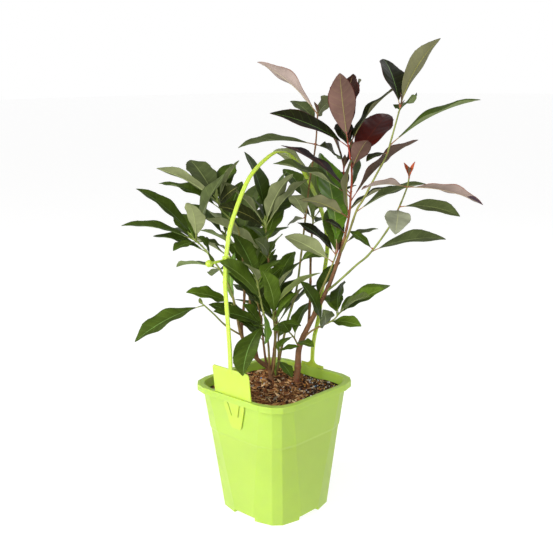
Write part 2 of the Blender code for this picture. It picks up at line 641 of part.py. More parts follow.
def shown_leaf(path, row, draw, nudge):
    """A leaf that the near side shows, nudged when its first place is taken."""
    share, clock, toward, reach, turn = row
    foot, _ = along_path(path, share)
    clock += nudge * draw.uniform(-NUDGE_CLOCK, NUDGE_CLOCK)
    aim = clock_aim(clock, toward + nudge * draw.uniform(-NUDGE_LEAN, NUDGE_LEAN))
    turn = math.radians(turn + nudge * draw.uniform(-NUDGE_FACE, NUDGE_FACE))
    viewer = square_to(aim, seen(0, -1, 0))
    upward = viewer.cross(aim)
    if upward.z < 0:
        upward.negate()
    face = viewer * math.cos(turn) + upward * math.sin(turn)
    reach *= MM * (1 - NUDGE_REACH * nudge)
    return Leaf(foot, aim, face, reach, leaf_width(reach, draw))


def leaf_width(reach, draw):
    return BLADE_RATIO * reach * draw.uniform(1 - WIDTH_SPREAD, 1 + WIDTH_SPREAD)


def ruled_leaf(path, share, turn, size, rear, draw, nudge):
    """A leaf of an opposite pair, which looks outward from its shoot and upward."""
    foot, way = along_path(path, share)
    across = way.cross(Vector((0, 0, 1))).normalized()
    outward = Matrix.Rotation(turn + nudge * draw.uniform(-NUDGE_TURN, NUDGE_TURN), 3, way) @ across
    off = nudge * draw.uniform(-NUDGE_SPREAD, NUDGE_SPREAD)
    spread = math.radians(SPREAD_FOOT - SPREAD_LOSS * share + off)
    aim = (outward * math.sin(spread) + way * math.cos(spread)).normalized()
    away = seen(0, 1, 0)
    if rear and aim.dot(away) < REAR_LEAST:
        aim = (aim + away * (REAR_AIM - aim.dot(away))).normalized()
    reach = size * MM * draw.uniform(*RULE_REACH)
    face = Matrix.Rotation(draw.uniform(-RULE_ROLL, RULE_ROLL), 3, aim) @ square_to(aim, Vector((0, 0, 1)))
    return Leaf(foot, aim, face, reach, leaf_width(reach, draw))


def place_leaf(owner, make, obstacles):
    """The first nudge of a leaf that touches nothing, or none."""
    for attempt in range(LEAF_TRIES):
        leaf = make(attempt / LEAF_TRIES)
        lowest = min(leaf.middle(t / 8).z for t in range(9))
        if lowest < SOIL_LEVEL + SOIL_CLEARANCE:
            continue
        whole = leaf_obstacle(owner, leaf, STALK_START)
        blade = leaf_obstacle(owner, leaf, BLADE_START)
        others = [other for other in obstacles if other.owner != f"{owner} shoot"]
        if not any((blade if other.owner == owner else whole).meets(other) for other in others):
            obstacles.append(whole)
            return leaf
    return None


def grow_leaves(paths, obstacles):
    """Each shoot's leaves: first those that the near side shows, then pairs by rule on its far side."""
    leaves = {name: [] for name in SHOOTS}
    for name, (_, _, _, _, _, rows) in SHOOTS.items():
        draw = random.Random(f"{SEED} {name}")
        for row in rows:
            leaves[name].append(place_leaf(name, lambda nudge: shown_leaf(paths[name], row, draw, nudge),
                                           obstacles))
    for name, (_, _, _, pairs, size, rows) in SHOOTS.items():
        draw = random.Random(f"{SEED} {name} pairs")
        highest, run = REAR_SHARES if rows else FREE_SHARES
        for i in range(pairs):
            share = highest - run * i / pairs
            first = math.radians(PAIR_TURN * i) + draw.uniform(-PAIR_JITTER, PAIR_JITTER)
            for turn in (first, first + math.pi):
                leaves[name].append(place_leaf(
                    name, lambda nudge: ruled_leaf(paths[name], share, turn, size, bool(rows), draw, nudge),
                    obstacles))
    return {name: [leaf for leaf in grown if leaf] for name, grown in leaves.items()}


def build_plant(home, bark, foliage, copper, handle_mesh):
    """Limbs, then leaves placed on the shoots one by one, then each shoot and its leaves made one."""
    scene_home = bpy.context.scene.collection
    paths, sizes = {}, {}
    parents = {name: row[0] for name, row in [*LIMBS.items(), *SHOOTS.items()]}
    for name, (_, points, foot, tip) in LIMBS.items():
        paths[name] = limb_path(points)
        sizes[name] = (foot * MM, tip * MM)
    for name, (_, points, foot, _, _, _) in SHOOTS.items():
        paths[name] = limb_path(points)
        sizes[name] = (foot * MM, SHOOT_TIP)
    for name, parent in parents.items():
        if parent is None:
            paths[name][0] -= Vector((0, 0, STEM_SUNK))
    obstacles = [obstacle_of("handle", handle_mesh)]
    obstacles += [obstacle_of("hand gap", box_mesh("gap", low, high)) for low, high in HOOP_GAPS]
    for name, path in paths.items():
        owner = f"{name} shoot" if name in SHOOTS else name
        obstacles.append(obstacle_of(owner, limb_mesh(name, path, *sizes[name])))
    leaves = grow_leaves(paths, obstacles)

    def cleared(made, name):
        """Cuts an object clear of the limb that it springs from, or level with the ground."""
        parent = parents[name]
        if parent:
            flare = FLARE if parents[parent] is None else 0.0
            mesh = limb_mesh("clear", paths[parent], *sizes[parent], flare=flare, grow=GAP)
        else:
            reach = Vector((RIM_SECTION[0], RIM_SECTION[0], 0))
            mesh = box_mesh("clear", -reach, reach + Vector((0, 0, SOIL_LEVEL + GAP)))
        combine(made, [new_object("clear", mesh, scene_home)], "DIFFERENCE")

    for name in LIMBS:
        flare = FLARE if parents[name] is None else 0.0
        made = new_object(name, limb_mesh(name, paths[name], *sizes[name], flare=flare), home, bark)
        cleared(made, name)
    for name in SHOOTS:
        finish = copper if name in COPPER_SHOOTS else foliage
        made = new_object(f"foliage_{name}", limb_mesh(name, paths[name], *sizes[name]), home, finish)
        blades = [new_object("leaf", loft_mesh("leaf", leaf.rings()), scene_home) for leaf in leaves[name]]
        combine(made, blades, "UNION")
        cleared(made, name)


def main():
    for old in list(bpy.data.objects):
        bpy.data.objects.remove(old)
    home = bpy.data.collections.new(NAME)
    cutters = bpy.data.collections.new("cutters")
    for made in (home, cutters):
        bpy.context.scene.collection.children.link(made)
    lime = material("lime plastic", (0.52, 0.80, 0.12), 0.45)
    handle_lime = material("handle plastic", (0.62, 0.86, 0.10), 0.35)
    mix = material("bark mulch", (0.16, 0.10, 0.06), 0.95)
    bark = material("bark", (0.25, 0.17, 0.10), 0.8)
    foliage = material("foliage", (0.12, 0.16, 0.06), 0.3)
    build_pot(home, cutters, lime)
    build_potting_mix(home, mix)
    build_handle(home, handle_lime)
    copper = material("copper foliage", (0.27, 0.14, 0.10), 0.3)
    build_plant(home, bark, foliage, copper, bpy.data.objects["handle"].data)


main()
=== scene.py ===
"""Looks of the potted sweet viburnum: leaves, twigs, bark and mulch in full detail on the solids.

The plant is laid out in millimetres as it is seen over the pot's near corner: right, away and up.
Leaves grow by the same seeded rule as the solids, and one is kept where the frame has its tip.
"""

import random
from functools import cache
from math import cos, exp, inf, pi, radians, sin, sqrt, tau

import bmesh
import bpy
from mathutils import Matrix, Vector, noise
from mathutils.kdtree import KDTree

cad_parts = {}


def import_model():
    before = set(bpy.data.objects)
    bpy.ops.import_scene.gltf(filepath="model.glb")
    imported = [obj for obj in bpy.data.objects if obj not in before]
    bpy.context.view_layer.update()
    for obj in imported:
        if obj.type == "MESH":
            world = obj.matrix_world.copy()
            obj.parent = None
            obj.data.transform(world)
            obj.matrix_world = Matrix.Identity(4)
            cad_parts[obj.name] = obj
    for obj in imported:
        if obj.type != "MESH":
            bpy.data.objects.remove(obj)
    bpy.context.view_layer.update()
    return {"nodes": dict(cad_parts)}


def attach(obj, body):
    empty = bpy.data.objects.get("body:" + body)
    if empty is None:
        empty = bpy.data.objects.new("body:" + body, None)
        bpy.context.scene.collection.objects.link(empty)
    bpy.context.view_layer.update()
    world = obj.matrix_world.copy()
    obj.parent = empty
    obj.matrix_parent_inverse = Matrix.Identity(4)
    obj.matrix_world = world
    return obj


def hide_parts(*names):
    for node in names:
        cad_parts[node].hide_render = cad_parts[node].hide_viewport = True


MM = 0.001

# Camera, as a scratch program's fit to points on the pot's outline gave it: where it stands, how it is
# turned, and its picture.
CAMERA_AT = Vector((-35.968, -1372.186, 691.236)) * MM
CAMERA_AZIMUTH = radians(1.734)
CAMERA_PITCH = radians(-12.5907)
CAMERA_ROLL = radians(-0.6679)
PICTURE_SIDE = 553
FOCAL_PIXELS = 891.123
SENSOR = 36

# How the layout is turned: over the near corner, and a leaf's clock face as the camera is.
VIEW_TURN = radians(45)
LEAF_TURN = radians(43.3)
LEAF_TILT = radians(-12.6)
DEGREES_AN_HOUR = 30
UP = Vector((0, 0, 1))

# Pot.
# The sections are as a scratch program's fit to points on the photo's outline gave them, as
# in the solids.
POT_HEIGHT = 212 * MM
RIM_DEPTH = 10 * MM
WALL_TOP_SECTION = (92.8 * MM, 55.9 * MM, 114.2 * MM, 7.4 * MM)
WALL_FOOT_SECTION = (74.4 * MM, 19.3 * MM, 84.4 * MM, 8.3 * MM)
WALL_INSET = 2.8 * MM
BASE_TOP = 8.3 * MM
# Tolerances for a line from the middle that meets the outline.
PARALLEL = 1e-9
SLACK = 1e-6

# Mulch: level, mesh, and the bumps' height; then, for humps and ripples, their number a metre, slice of
# the noise and share; and how far the top is held down.
SOIL_LEVEL = 198 * MM
SOIL_CELLS = 72
SOIL_RINGS = 26
SOIL_BUMPS = 3.2 * MM
SOIL_NOISE = ((40, 3.0, 0.6), (160, 8.0, 0.3))
SOIL_DROP = 0.3

# Chips: bend and width go with the length, thickness with the width, and lift with the thickness; a draw
# scales the ends, sides and faces; and the tip is in radians.
CHIP_COUNT = 4600
CHIP_LENGTH = (3.2 * MM, 15 * MM)
CHIP_SHARE = (0.1, 0.34)
CHIP_WEIGHTS = (5, 7, 6, 6, 1, 3)
CHIP_THICK = (0.3, 0.7)
CHIP_BEND = 0.12
CHIP_ENDS = ((0.1, 0.6), (0.1, 0.7))
CHIP_SIDES = (0.8, 1.1)
CHIP_FACES = (0.7, 1.0)
CHIP_TIP = (0.3, 0.6)
CHIP_LIFT = 0.9

# Pellets: radius, how many of each colour, and, in radii, how far from the wall and how high they lie.
PELLET_RADIUS = (0.7 * MM, 1.4 * MM)
PELLETS = {"grey": (30, "a4a6aa"), "yellow": (12, "d6b548"), "orange": (10, "cc7b32"),
           "blue": (3, "4a8cc8"), "white": (24, "dcd8cc")}
PELLET_INSET = 4
PELLET_LIFT = 1.9

# Grit takes over from bark shreds towards the right: where it starts, over what run, how short its
# pieces are beside a shred, their colours' weights, and how often a pellet lies among the shreds.
GRIT_FROM = 22 * MM
GRIT_RUN = 45 * MM
GRIT_LENGTH = 0.42
GRIT_WEIGHTS = (6, 7, 4, 6, 4, 5)
STRAY_PELLETS = 0.1

# Limbs: the points that each runs through, its thickness at foot and tip, and where its bark starts and
# ends on the ramp from brown to green.
# Where these numbers come from: leaf feet, leaf tips and limbs were read off the photo. Programs turned
# those into the points and rows here, and searched for values that keep leaves apart; many were then
# changed one by one. So the tables aren't all hand-made.
LIMBS = {
    "stem_right": ([(38, 30, 198), (40, 30, 225), (42, 30, 254), (52, 28, 283), (92, 20, 368),
                    (115, 12, 444)], 10.6, 5.0, (0.0, 0.25)),
    "stem_left": ([(-4, 43, 198), (-4, 43, 208), (-8, 41, 220), (-27, 33, 239), (-50, 20, 279),
                   (-60, 9, 330)], 8.2, 4.4, (0.05, 0.55)),
    "bough_left_crown": ([(-50, 20, 279), (-51, 22, 300), (-46, 24, 345), (-47, 20, 405),
                          (-51, 18, 436)], 4.6, 3.4, (0.1, 0.6)),
    "bough_centre": ([(-5, 43, 214), (0, 49, 232), (5, 50, 291), (0, 46, 340), (-5, 38, 390)],
                     5.0, 3.6, (0.15, 0.3)),
    "bough_centre_low": ([(-4, 43, 206), (0, 33, 222), (3, 25, 262), (2, 19, 296)],
                         4.4, 3.4, (0.35, 0.6)),
    "bough_centre_left": ([(-7, 41, 217), (-7, 31, 233), (-8, 20, 262)], 4.4, 3.6, (0.35, 0.6)),
    "bough_left_mid": ([(-5, 43, 209), (-12, 50, 228), (-16, 44, 262)], 4.6, 3.6, (0.2, 0.35)),
    "bough_slender": ([(-4, 43, 202), (6, 41, 216), (14, 45, 254), (25, 50, 300)],
                      4.6, 3.8, (0.4, 0.7)),
    "bough_rear_right": ([(58, 27, 297), (63, 58, 345), (66, 92, 392), (70, 114, 436)],
                         4.8, 3.4, (0.1, 0.5)),
    "bough_rear_left": ([(-26, 33, 238), (-32, 56, 272), (-38, 92, 330), (-40, 112, 375)],
                        4.6, 3.4, (0.1, 0.5)),
}

# Shoots: the points that each runs through, its thickness at the foot, how many pairs of leaves its rule
# adds, their size, its bark on the ramp, the tones of those leaves, and the leaves that the near side
# shows: where each grows along the shoot and points on a clock face, its lean towards the viewer in
# degrees, reach in millimetres, its upper face's turn from the viewer in degrees, and its tone.
SHOOTS = {
    "mid_right": ([(66, 26, 316), (72, 10, 346), (83, 4, 374), (92, 3, 396), (101, 2, 420)],
                  3.8, 1, 85, (0.45, 0.7), ("deep", "green"), [
        (1.00, 11.75, -18, 176, 44, "bright"), (0.97, 10.4, -20, 86, 60, "umber"),
        (0.86, 9.95, 20, 92, 130, "sage"), (0.24, 1.1, -30, 87, 62, "deep")]),
    "top": ([(114, 12, 440), (121, 10, 478), (123, 8, 507), (124, 5, 550), (118, 3, 590)],
            4.2, 1, 95, (0.1, -1.0), ("umber", "olive"), [
        (1.00, 11.7, 28, 112, 180, "copper"), (0.99, 0.2, -20, 128, 45, "bronze"),
        (0.97, 0.4, -25, 154, 78, "olive"), (0.78, 1.2, -35, 142, 30, "copper"),
        (0.74, 0.9, 60, 78, 165, "copper"), (0.96, 1.3, -5, 124, 80, "olive"),
        (0.50, 11.9, -20, 110, 70, "deep"), (0.25, 0.1, 20, 96, 106, "olive"),
        (0.97, 9.8, 0, 132, 55, "umber"), (0.48, 10.2, 0, 133, 75, "purple"),
        (0.45, 9.75, 15, 135, 75, "sage"), (0.23, 9.6, 30, 98, 115, "olive"),
        (0.40, 1.6, 5, 142, 101, "bronze"), (0.06, 10.05, 25, 44, 60, "umber")]),
    "right_top": ([(106, 16, 412), (118, 7, 444), (132, 4, 487), (142, 0, 505), (160, -6, 542),
                   (175, -10, 572), (182, -12, 597), (194, -15, 644)],
                  4.0, 0, 90, (0.62, 0.72), ("umber", "deep"), [
        (1.00, 11.7, -38, 118, 30, "umber"), (1.00, 1.0, 15, 116, 120, "olive"),
        (0.97, 1.6, -60, 95, 75, "deep"), (0.77, 2.15, 10, 150, 80, "deep"),
        (0.72, 8.2, 40, 50, 60, "umber"), (0.31, 2.3, 5, 117, 75, "grey"),
        (0.10, 2.25, -20, 64, 72, "grey")]),
    "right": ([(85, 21.4, 353), (100, 14, 367), (117, 9, 384), (133, 2, 401), (152, -6, 420),
               (179, -14, 460), (194, -18, 492), (206, -20, 524), (209, -20, 539)],
              3.8, 0, 85, (0.8, 0.7), ("deep", "pink"), [
        (0.94, 3.5, 10, 117, 97, "shaded"), (0.94, 8.8, 35, 92, 98, "pink"),
        (0.80, 3.4, 25, 96, 55, "grey"), (0.78, 6.7, 62, 95, 15, "pale"),
        (0.44, 2.7, 10, 117, 65, "grey"), (1.00, 0.6, 24, 27, 35, "bud"),
        (1.00, 11.6, -27, 29, 20, "bud"), (0.46, 10.35, -15, 48, 42, "deep")]),
    "slender": ([(25, 50, 300), (39, 50, 348), (47, 50, 404), (55, 50, 470), (63, 48, 536),
                 (71, 45, 585), (74, 40, 634)],
                3.7, 1, 90, (0.85, 0.2), ("grey", "sage"), [
        (1.00, 10.4, 0, 125, 98, "pink"), (0.98, 1.2, -50, 80, 120, "sage"),
        (0.86, 8.9, 10, 124, 70, "grey"), (0.86, 3.6, -60, 84, 55, "grey"),
        (0.72, 10.2, -30, 85, 115, "sage"), (0.51, 10.8, 60, 76, 145, "sage"),
        (0.51, 8.3, -50, 48, 65, "pale"), (0.30, 2.55, -40, 64, 55, "green"),
        (0.29, 1.8, 50, 40, 65, "fresh"), (0.06, 11.3, -50, 55, 45, "deep"),
        (0.06, 1.0, 45, 58, 115, "olive")]),
    "centre": ([(-5, 38, 390), (-6, 36, 404), (-8, 33, 429), (-10, 30, 461)],
               3.5, 2, 100, (0.2, 0.7), ("deep", "green"), [
        (1.00, 11.5, -10, 128, 65, "deep"), (0.98, 0.7, -25, 109, 70, "green"),
        (1.00, 0.9, 14, 112, 105, "sage"), (0.96, 1.4, 0, 103, 102, "sage"),
        (0.98, 10.5, 15, 103, 95, "sage"), (0.94, 9.8, 35, 95, 50, "olive"),
        (0.96, 11.2, -45, 80, 70, "deep"), (0.22, 10.1, 5, 124, 105, "sage"),
        (0.22, 1.0, -40, 63, 75, "fresh"), (0.26, 10.8, 62, 70, 45, "grey"),
        (0.02, 0.7, 0, 32, 65, "green")]),
    "left_tip": ([(-60, 9, 330), (-67, 4, 362), (-82, -2, 396), (-108, -10, 435), (-119, -12, 446)],
                 4.2, 2, 90, (0.6, 0.9), ("deep", "green"), [
        (1.00, 9.4, 10, 116, 75, "deep"), (1.00, 10.4, 0, 123, 70, "deep"),
        (1.00, 11.9, 55, 92, 150, "sage"), (1.00, 0.8, -5, 118, 65, "grey"),
        (0.98, 8.2, 50, 55, 55, "deep"), (0.98, 3.5, -50, 68, 75, "sage"),
        (0.80, 9.6, 5, 88, 70, "deep"), (0.76, 11.2, 45, 45, 70, "deep"),
        (0.92, 5.0, 40, 51, 85, "fresh"), (0.04, 12.0, -13, 90, 55, "bright"),
        (0.03, 9.65, 35, 94, 65, "green")]),
    "left_crown": ([(-51, 18, 436), (-54, 22, 459), (-66, 24, 474), (-80, 26, 488), (-84, 27, 499)],
                   3.3, 1, 90, (0.6, 0.9), ("deep", "grey"), [
        (1.00, 10.0, 0, 112, 106, "sage"), (0.86, 9.8, -15, 115, 70, "deep"),
        (1.00, 10.9, -35, 112, 36, "grey"), (0.98, 0.85, -5, 77, 97, "sage"),
        (0.96, 1.8, 50, 62, 30, "olive"), (0.86, 3.55, 55, 34, 70, "deep")]),
    "centre_left": ([(-8, 20, 262), (-12, -2, 306), (-19, -22, 346), (-25, -34, 383)],
                    3.5, 0, 80, (0.5, 0.8), ("green", "deep"), [
        (1.00, 11.15, -20, 91, 45, "deep"), (0.40, 6.85, 45, 134, 50, "deep"),
        (0.75, 10.55, 48, 124, 66, "green"), (0.98, 10.95, 58, 72, 114, "sage"),
        (0.97, 1.4, -45, 76, 60, "green"), (0.92, 10.4, -30, 76, 75, "deep"),
        (0.34, 9.6, 15, 90, 62, "deep"), (0.26, 9.9, 25, 58, 70, "green"),
        (0.12, 10.25, 30, 72, 60, "deep"), (0.60, 5.9, 30, 58, 65, "bright")]),
    "left_low": ([(-51, 19, 283), (-76, 5, 304), (-95, -5, 327), (-109, -12, 343)],
                 3.0, 0, 80, (0.5, 0.9), ("deep", "green"), [
        (1.00, 8.1, 15, 122, 60, "deep")]),
    "left_mid": ([(-16, 44, 262), (-19, 36, 300), (-27, 28, 352), (-29, 25, 387)],
                 3.5, 4, 85, (0.2, 0.7), ("green", "deep", "sage"), [
        (0.13, 10.0, 5, 102, 60, "deep"), (1.00, 11.5, -35, 100, 28, "green"),
        (1.00, 0.8, 20, 79, 86, "deep"), (0.70, 1.5, 20, 70, 60, "green"),
        (0.62, 10.5, 35, 76, 57, "deep"), (0.03, 10.45, 0, 75, 55, "deep"),
        (0.10, 11.05, 35, 77, 60, "green")]),
    "centre_low": ([(2, 19, 296), (0, 16, 316), (-1, 15, 332)],
                   3.3, 2, 85, (0.5, 0.9), ("green", "deep"), [
        (1.00, 0.95, 25, 76, 104, "sage"), (0.92, 1.1, -25, 103, 73, "deep"),
        (0.94, 1.8, 15, 98, 105, "fresh"), (0.30, 10.8, 15, 62, 60, "deep"),
        (0.30, 1.3, 10, 60, 60, "green"), (0.12, 3.05, 20, 46, 60, "deep"),
        (0.12, 1.0, 0, 32, 70, "fresh"), (0.55, 11.6, 40, 98, 44, "green")]),
    "right_low": ([(46, 29, 268), (62, 18, 289), (94, 2, 310), (104, -5, 323)],
                  3.2, 1, 80, (0.3, 0.8), ("green", "deep"), [
        (1.00, 2.1, -20, 104, 65, "green"), (1.00, 2.0, 25, 88, 60, "green"),
        (0.98, 1.85, 50, 83, 80, "sage"), (0.74, 3.2, 45, 66, 50, "green"),
        (0.60, 11.7, 70, 80, 35, "grey"), (0.98, 0.5, -50, 84, 60, "deep"),
        (0.56, 11.15, 30, 92, 60, "deep")]),
    "low": ([(42, 30, 258), (34, 24, 276), (24, 17, 290)], 2.8, 0, 55, (0.3, 0.8), ("green",), [
        (1.00, 9.4, 20, 41, 52, "green"), (0.62, 7.9, 45, 40, 65, "green"),
        (0.50, 0.9, -45, 92, 60, "green"), (0.90, 11.0, 60, 44, 0, "deep"),
        (0.24, 3.2, 60, 52, 60, "green")]),
    "foot": ([(9, 42, 229), (8, 34, 240), (8, 27, 252)], 2.8, 0, 50, (0.4, 0.6), ("green",), [
        (0.15, 4.6, 46, 46, 40, "deep"), (0.28, 6.3, 20, 28, 80, "green"),
        (1.00, 2.55, 5, 35, 60, "green")]),
    "rear_right": ([(70, 114, 436), (73, 127, 452), (76, 140, 470)],
                   3.3, 4, 96, (0.4, 0.8), ("deep", "green", "olive"), []),
    "rear_left": ([(-40, 112, 375), (-43, 122, 400), (-48, 136, 432)],
                  3.3, 5, 105, (0.4, 0.8), ("deep", "green", "grey"), []),
    "rear_low": ([(9, 43, 228), (10, 62, 250), (8, 88, 292), (4, 104, 330)],
                 3.2, 4, 95, (0.4, 0.8), ("green", "bright", "deep"), []),
    "rear_crown": ([(-47, 21, 366), (-57, 44, 384), (-70, 70, 410), (-76, 84, 434)],
                   3.0, 4, 95, (0.3, 0.8), ("deep", "grey", "sage"), []),
    "rear_top": ([(108, 15, 420), (114, 40, 460), (118, 66, 505), (120, 82, 545)],
                 3.3, 3, 95, (0.1, -0.8), ("copper", "umber", "olive", "bronze"), []),
}

# How closely the solids follow a path, a shoot's thickness at its tip, and a stem's flare at its foot.
LIMB_SPACING = 14 * MM
SHOOT_TIP = 2.4 * MM
FLARE = 0.5 * MM
FLARE_FADE = 9

# Leaves: stalk, blade width and arch as shares of their reach, how far widths vary, the fold as a share
# of the half-width, and the powers that shape the outline.
PETIOLE = 0.12
BLADE_RATIO = 0.39
BLADE_ARCH = 0.075
WIDTH_SPREAD = 0.06
BLADE_FOLD = 0.22
BLADE_SHIFT = 1.1
BLADE_ROUND = 0.85

# Placing a leaf, and the rule for pairs, as in the solids.
LEAF_TRIES = 60
NUDGE_CLOCK = 0.3
NUDGE_LEAN = 40
NUDGE_FACE = 40
NUDGE_REACH = 0.15
FREE_SHARES = (1.0, 0.86)
REAR_SHARES = (0.95, 0.8)
PAIR_TURN = 90
PAIR_JITTER = 0.4
SPREAD_FOOT = 72
SPREAD_LOSS = 34
NUDGE_SPREAD = 16
NUDGE_TURN = 0.5
RULE_REACH = (0.86, 1.1)
RULE_ROLL = 0.25
REAR_LEAST = 0.45
REAR_AIM = 0.75
SEED = 41
SAME_TIP = 0.05 * MM

# A leaf's mesh: columns from edge to edge, side veins, and the rows between veins and at the tip.
COLUMNS = (-1.0, -0.95, -0.74, -0.5, -0.26, -0.035, 0.035, 0.26, 0.5, 0.74, 0.95, 1.0)
VEIN_PAIRS = 8
VEIN_SPAN = (0.07, 0.9)
VEIN_HALF = 0.0035
VEIN_FORWARD = 0.13
VEIN_BEND = 1.3
ROWS_BETWEEN = (0.33, 0.67)
TIP_ROWS = (0.95, 0.985)

# Its relief, and the ranges that a leaf's own share of it is drawn from.
QUILT = 0.0055
QUILT_DRAW = (0.7, 1.2)
BRIGHT_QUILT = 2.2
BLADE_THICK = 0.5 * MM
TOOTH = 0.055
TOOTH_FROM = 0.3
TOOTH_RISE = 3
WAVE = 0.16
WAVE_DRAW = (0.3, 1.0)
WAVE_COUNT = (1.6, 3.0)
EDGE_SHIFT = 1.3
FOLD_BEND = 1.35
SWAY = 0.025
TIP_CURL = 0.05
CURL_DRAW = (0.2, 1.0)
CURL_FROM = 0.8
CURL_RATE = 5
TIP_BAND = 0.72
VEIN_TINT = 0.3

# A stalk, which runs on as the rib: its size, shares of that for its foot and the blade's least
# half-width, its taper, run, swollen foot and sinking, and where its finish changes, in its own lengths.
STALK = 1.1 * MM
STALK_SHARE = 0.82
BLADE_LEAST = 0.7
RIB_TIP = 0.3 * MM
RIB_TAPER = 1.6
RIB_RUN = 0.93
STALK_STEPS = 22
STALK_SIDES = 8
STALK_SWELL = 0.5
SWELL_FADE = 60
SINK_FROM = 0.6
RIB_SINK = 0.75
STALK_ENDS = (0.5, 1.1, inf)

# Buds: lengths, the part of a sine that is their profile, places on the bark's ramp; and young leaves.
SIDE_BUD = 3.6 * MM
END_BUD = 7.2 * MM
BUD_RADIUS = 1.1 * MM
BUD_SIDES = 8
BUD_STEPS = 6
BUD_FROM = 0.18
BUD_SPAN = 0.8
BUD_ROUND = 0.8
GREEN_BUD = 0.95
RED_BUD = -0.9
BUD_SLIM = 0.5
YOUNG_COUNT = 2
YOUNG_REACH = (14, 26)
YOUNG_SPREAD = (0.25, 0.6)
YOUNG_SLIM = 0.8

# Bark: its rings, ridges, how far its colour strays, and the joints where leaves have stood.
RING_SPACING = 2.2 * MM
BARK_SIDES = 12
RIDGE = 0.05
RIDGE_ROUND = 1.7
RIDGE_ALONG = 90
RIDGE_START = 100
BARK_STRAY = 0.04
JOINT_SPACING = 46 * MM
JOINT_MOST = 8
JOINT_JITTER = 0.15
JOINT_SWELL = 0.16
JOINT_LENGTH = 3.2 * MM

# Finishes: roughness, gloss, wax coat, how far the colour wanders, its grain a metre, and its relief.
FINISHES = {
    "leaf": (0.52, 0.1, 0.0, 0.24, 260, 0.00003),
    "glossy": (0.36, 0.24, 0.03, 0.24, 260, 0.00004),
    "under": (0.65, 0.08, 0.0, 0.12, 260, 0.00004),
    "vein": (0.45, 0.2, 0.0, 0.08, 260, 0.0001),
    "stalk": (0.45, 0.3, 0.05, 0.14, 260, 0.0002),
    "bark": (0.7, 0.2, 0.0, 0.38, 300, 0.002),
    "crumb": (0.95, 0.2, 0.0, 0.35, 300, 0.002),
}

# Where a noise pattern starts and stops changing the colour, its detail, how coarse it is beside the
# grain, the grain's strength, and the wax coat's roughness.
COLOUR_BAND = (0.3, 0.7)
DETAIL = 4.0
CLOUD_SCALE = 0.2
GRAIN_STRENGTH = 0.5
COAT_ROUGHNESS = 0.25

# Tones whose upper face is glossier.
GLOSSY_TONES = ("bright", "copper")

# Base colours, set by comparing renders with the photo: each tone's two sides and veins, and a midrib,
# margin and tip of its own where it has them. The grey and pale tones are greyed and paled as painted
# sheen, a glossy reflection put into the base colour.
TONE_PARTS = ("upper", "under", "vein", "rib", "margin", "tip")
TONES = {
    "deep": ("3c4d14", "74824c", "6c8240", "668640"),
    "green": ("50661c", "7e8e56", "80984a"),
    "bright": ("577a1c", "849456", "9cb45a"),
    "fresh": ("62782a", "8a965a", "9caa56"),
    # grey: greyed as painted sheen, a glossy reflection put into the colour.
    "grey": ("4b5530", "7e8660", "78844e"),
    "sage": ("505d2e", "82885e", "a0aa72"),
    "olive": ("2c3115", "777655", "8e8c4c"),
    "umber": ("1a1c08", "5c5740", "646a3e", "587a32", "442018"),
    "bronze": ("250f08", "5c493e", "6c5a3a", None, "481e1a"),
    "copper": ("4a100a", "695047", "84794c", "602419", "4c201a"),
    "purple": ("281c1f", "4f3e3e", "5c4c44", None, "422024"),
    "pink": ("64453e", "a6948b", "aa9e84", None, "846256"),
    "shaded": ("5e423a", "97847b", "a29278", None, "845e52", "3e2c36"),
    # pale: paled on both sides as painted sheen, a glossy reflection put into the colour.
    "pale": ("8a8e76", "8f9378", "a2a67c"),
    "bud": ("9a4626", "a85a34", "9c5a30"),
}
# Stalks: the colour of their foot and of the rest, by kind, and the shoots that aren't green.
STALKS = {
    "green": ("76823c", "8f9850"),
    "copper": ("7d3d2b", "8c5540"),
    "tawny": ("8a6244", "94845a"),
}
STALK_KINDS = {"top": "copper", "rear_top": "copper", "mid_right": "tawny", "right_top": "tawny",
               "right": "tawny", "slender": "tawny"}
COPPER_SHOOTS = ("top", "right")
BARK_RAMP = ("735239", "745238", "785638", "7a5e39", "7a683c", "7b7640", "7b8244", "768440", "88964d")
COPPER_RAMP = ("7c4a31", "84462f", "8c422f", "963e2e")
CHIP_COLOURS = {"dark": "40281a", "brown": "744c2e", "red": "94603a", "tan": "bd8e5a", "grey": "8a7e70",
                "straw": "e0bd8e"}
# The mulch body's colour: dark soil taken to near-black as painted shade in the gaps between the chips.
MULCH_GAP_SHADE = "2a1a10"
FLOOR_GREY = "898988"

# Moulded plastic: each node's colour, roughness, how deep light goes, and how softly it is rounded; then
# how far red, green and blue go for that depth, its gloss, clouding and grain.
PLASTICS = {
    "pot": ("a3be4f", 0.42, 6 * MM, 0.7 * MM),
    "handle": ("b0c54b", 0.34, 2 * MM, 0.35 * MM),
}
PLASTIC_GLOW = 1.0
PLASTIC_LIGHT = (1, 1, 0.3)
PLASTIC_GLOSS = 0.35
PLASTIC_CLOUDS = 14
PLASTIC_SPREAD = 0.03
PLASTIC_GRAIN = 900
PLASTIC_DETAIL = 2.0
PLASTIC_BUMP = 0.05
PLASTIC_RELIEF = 0.0001
WELD_GAP = 0.01 * MM
ROUND_SEGMENTS = 2
ROUND_ABOVE = radians(12)

# Studio: the surroundings' light from the horizon up, the floor's own glow, and area lights as place,
# size and power.
SKY = ((0.55, 1.0), (0.63, 0.55), (0.8, 0.3))
FLOOR_GLOW = 0.85
LIGHTS = {
    "key": (Vector((-2.4, -1.5, 1.6)), 1.6, 90),
    "fill": (Vector((-0.2, -2.9, 1.3)), 2.2, 54),
    "rim": (Vector((1.5, 1.6, 1.8)), 1.2, 8),
}
AIM_AT = Vector((0, 0, 0.32))
FLOOR_SIDE = 60
FLOOR_ROUGHNESS = 0.9


def channels(code):
    """The three numbers in a colour's six hexadecimal digits."""
    return [int(code[i:i + 2], 16) for i in (0, 2, 4)]


def linear(code):
    """A colour for the shader, by sRGB's own curve."""
    parts = [part / 255 for part in channels(code)]
    return [part / 12.92 if part <= 0.04045 else ((part + 0.055) / 1.055) ** 2.4 for part in parts]


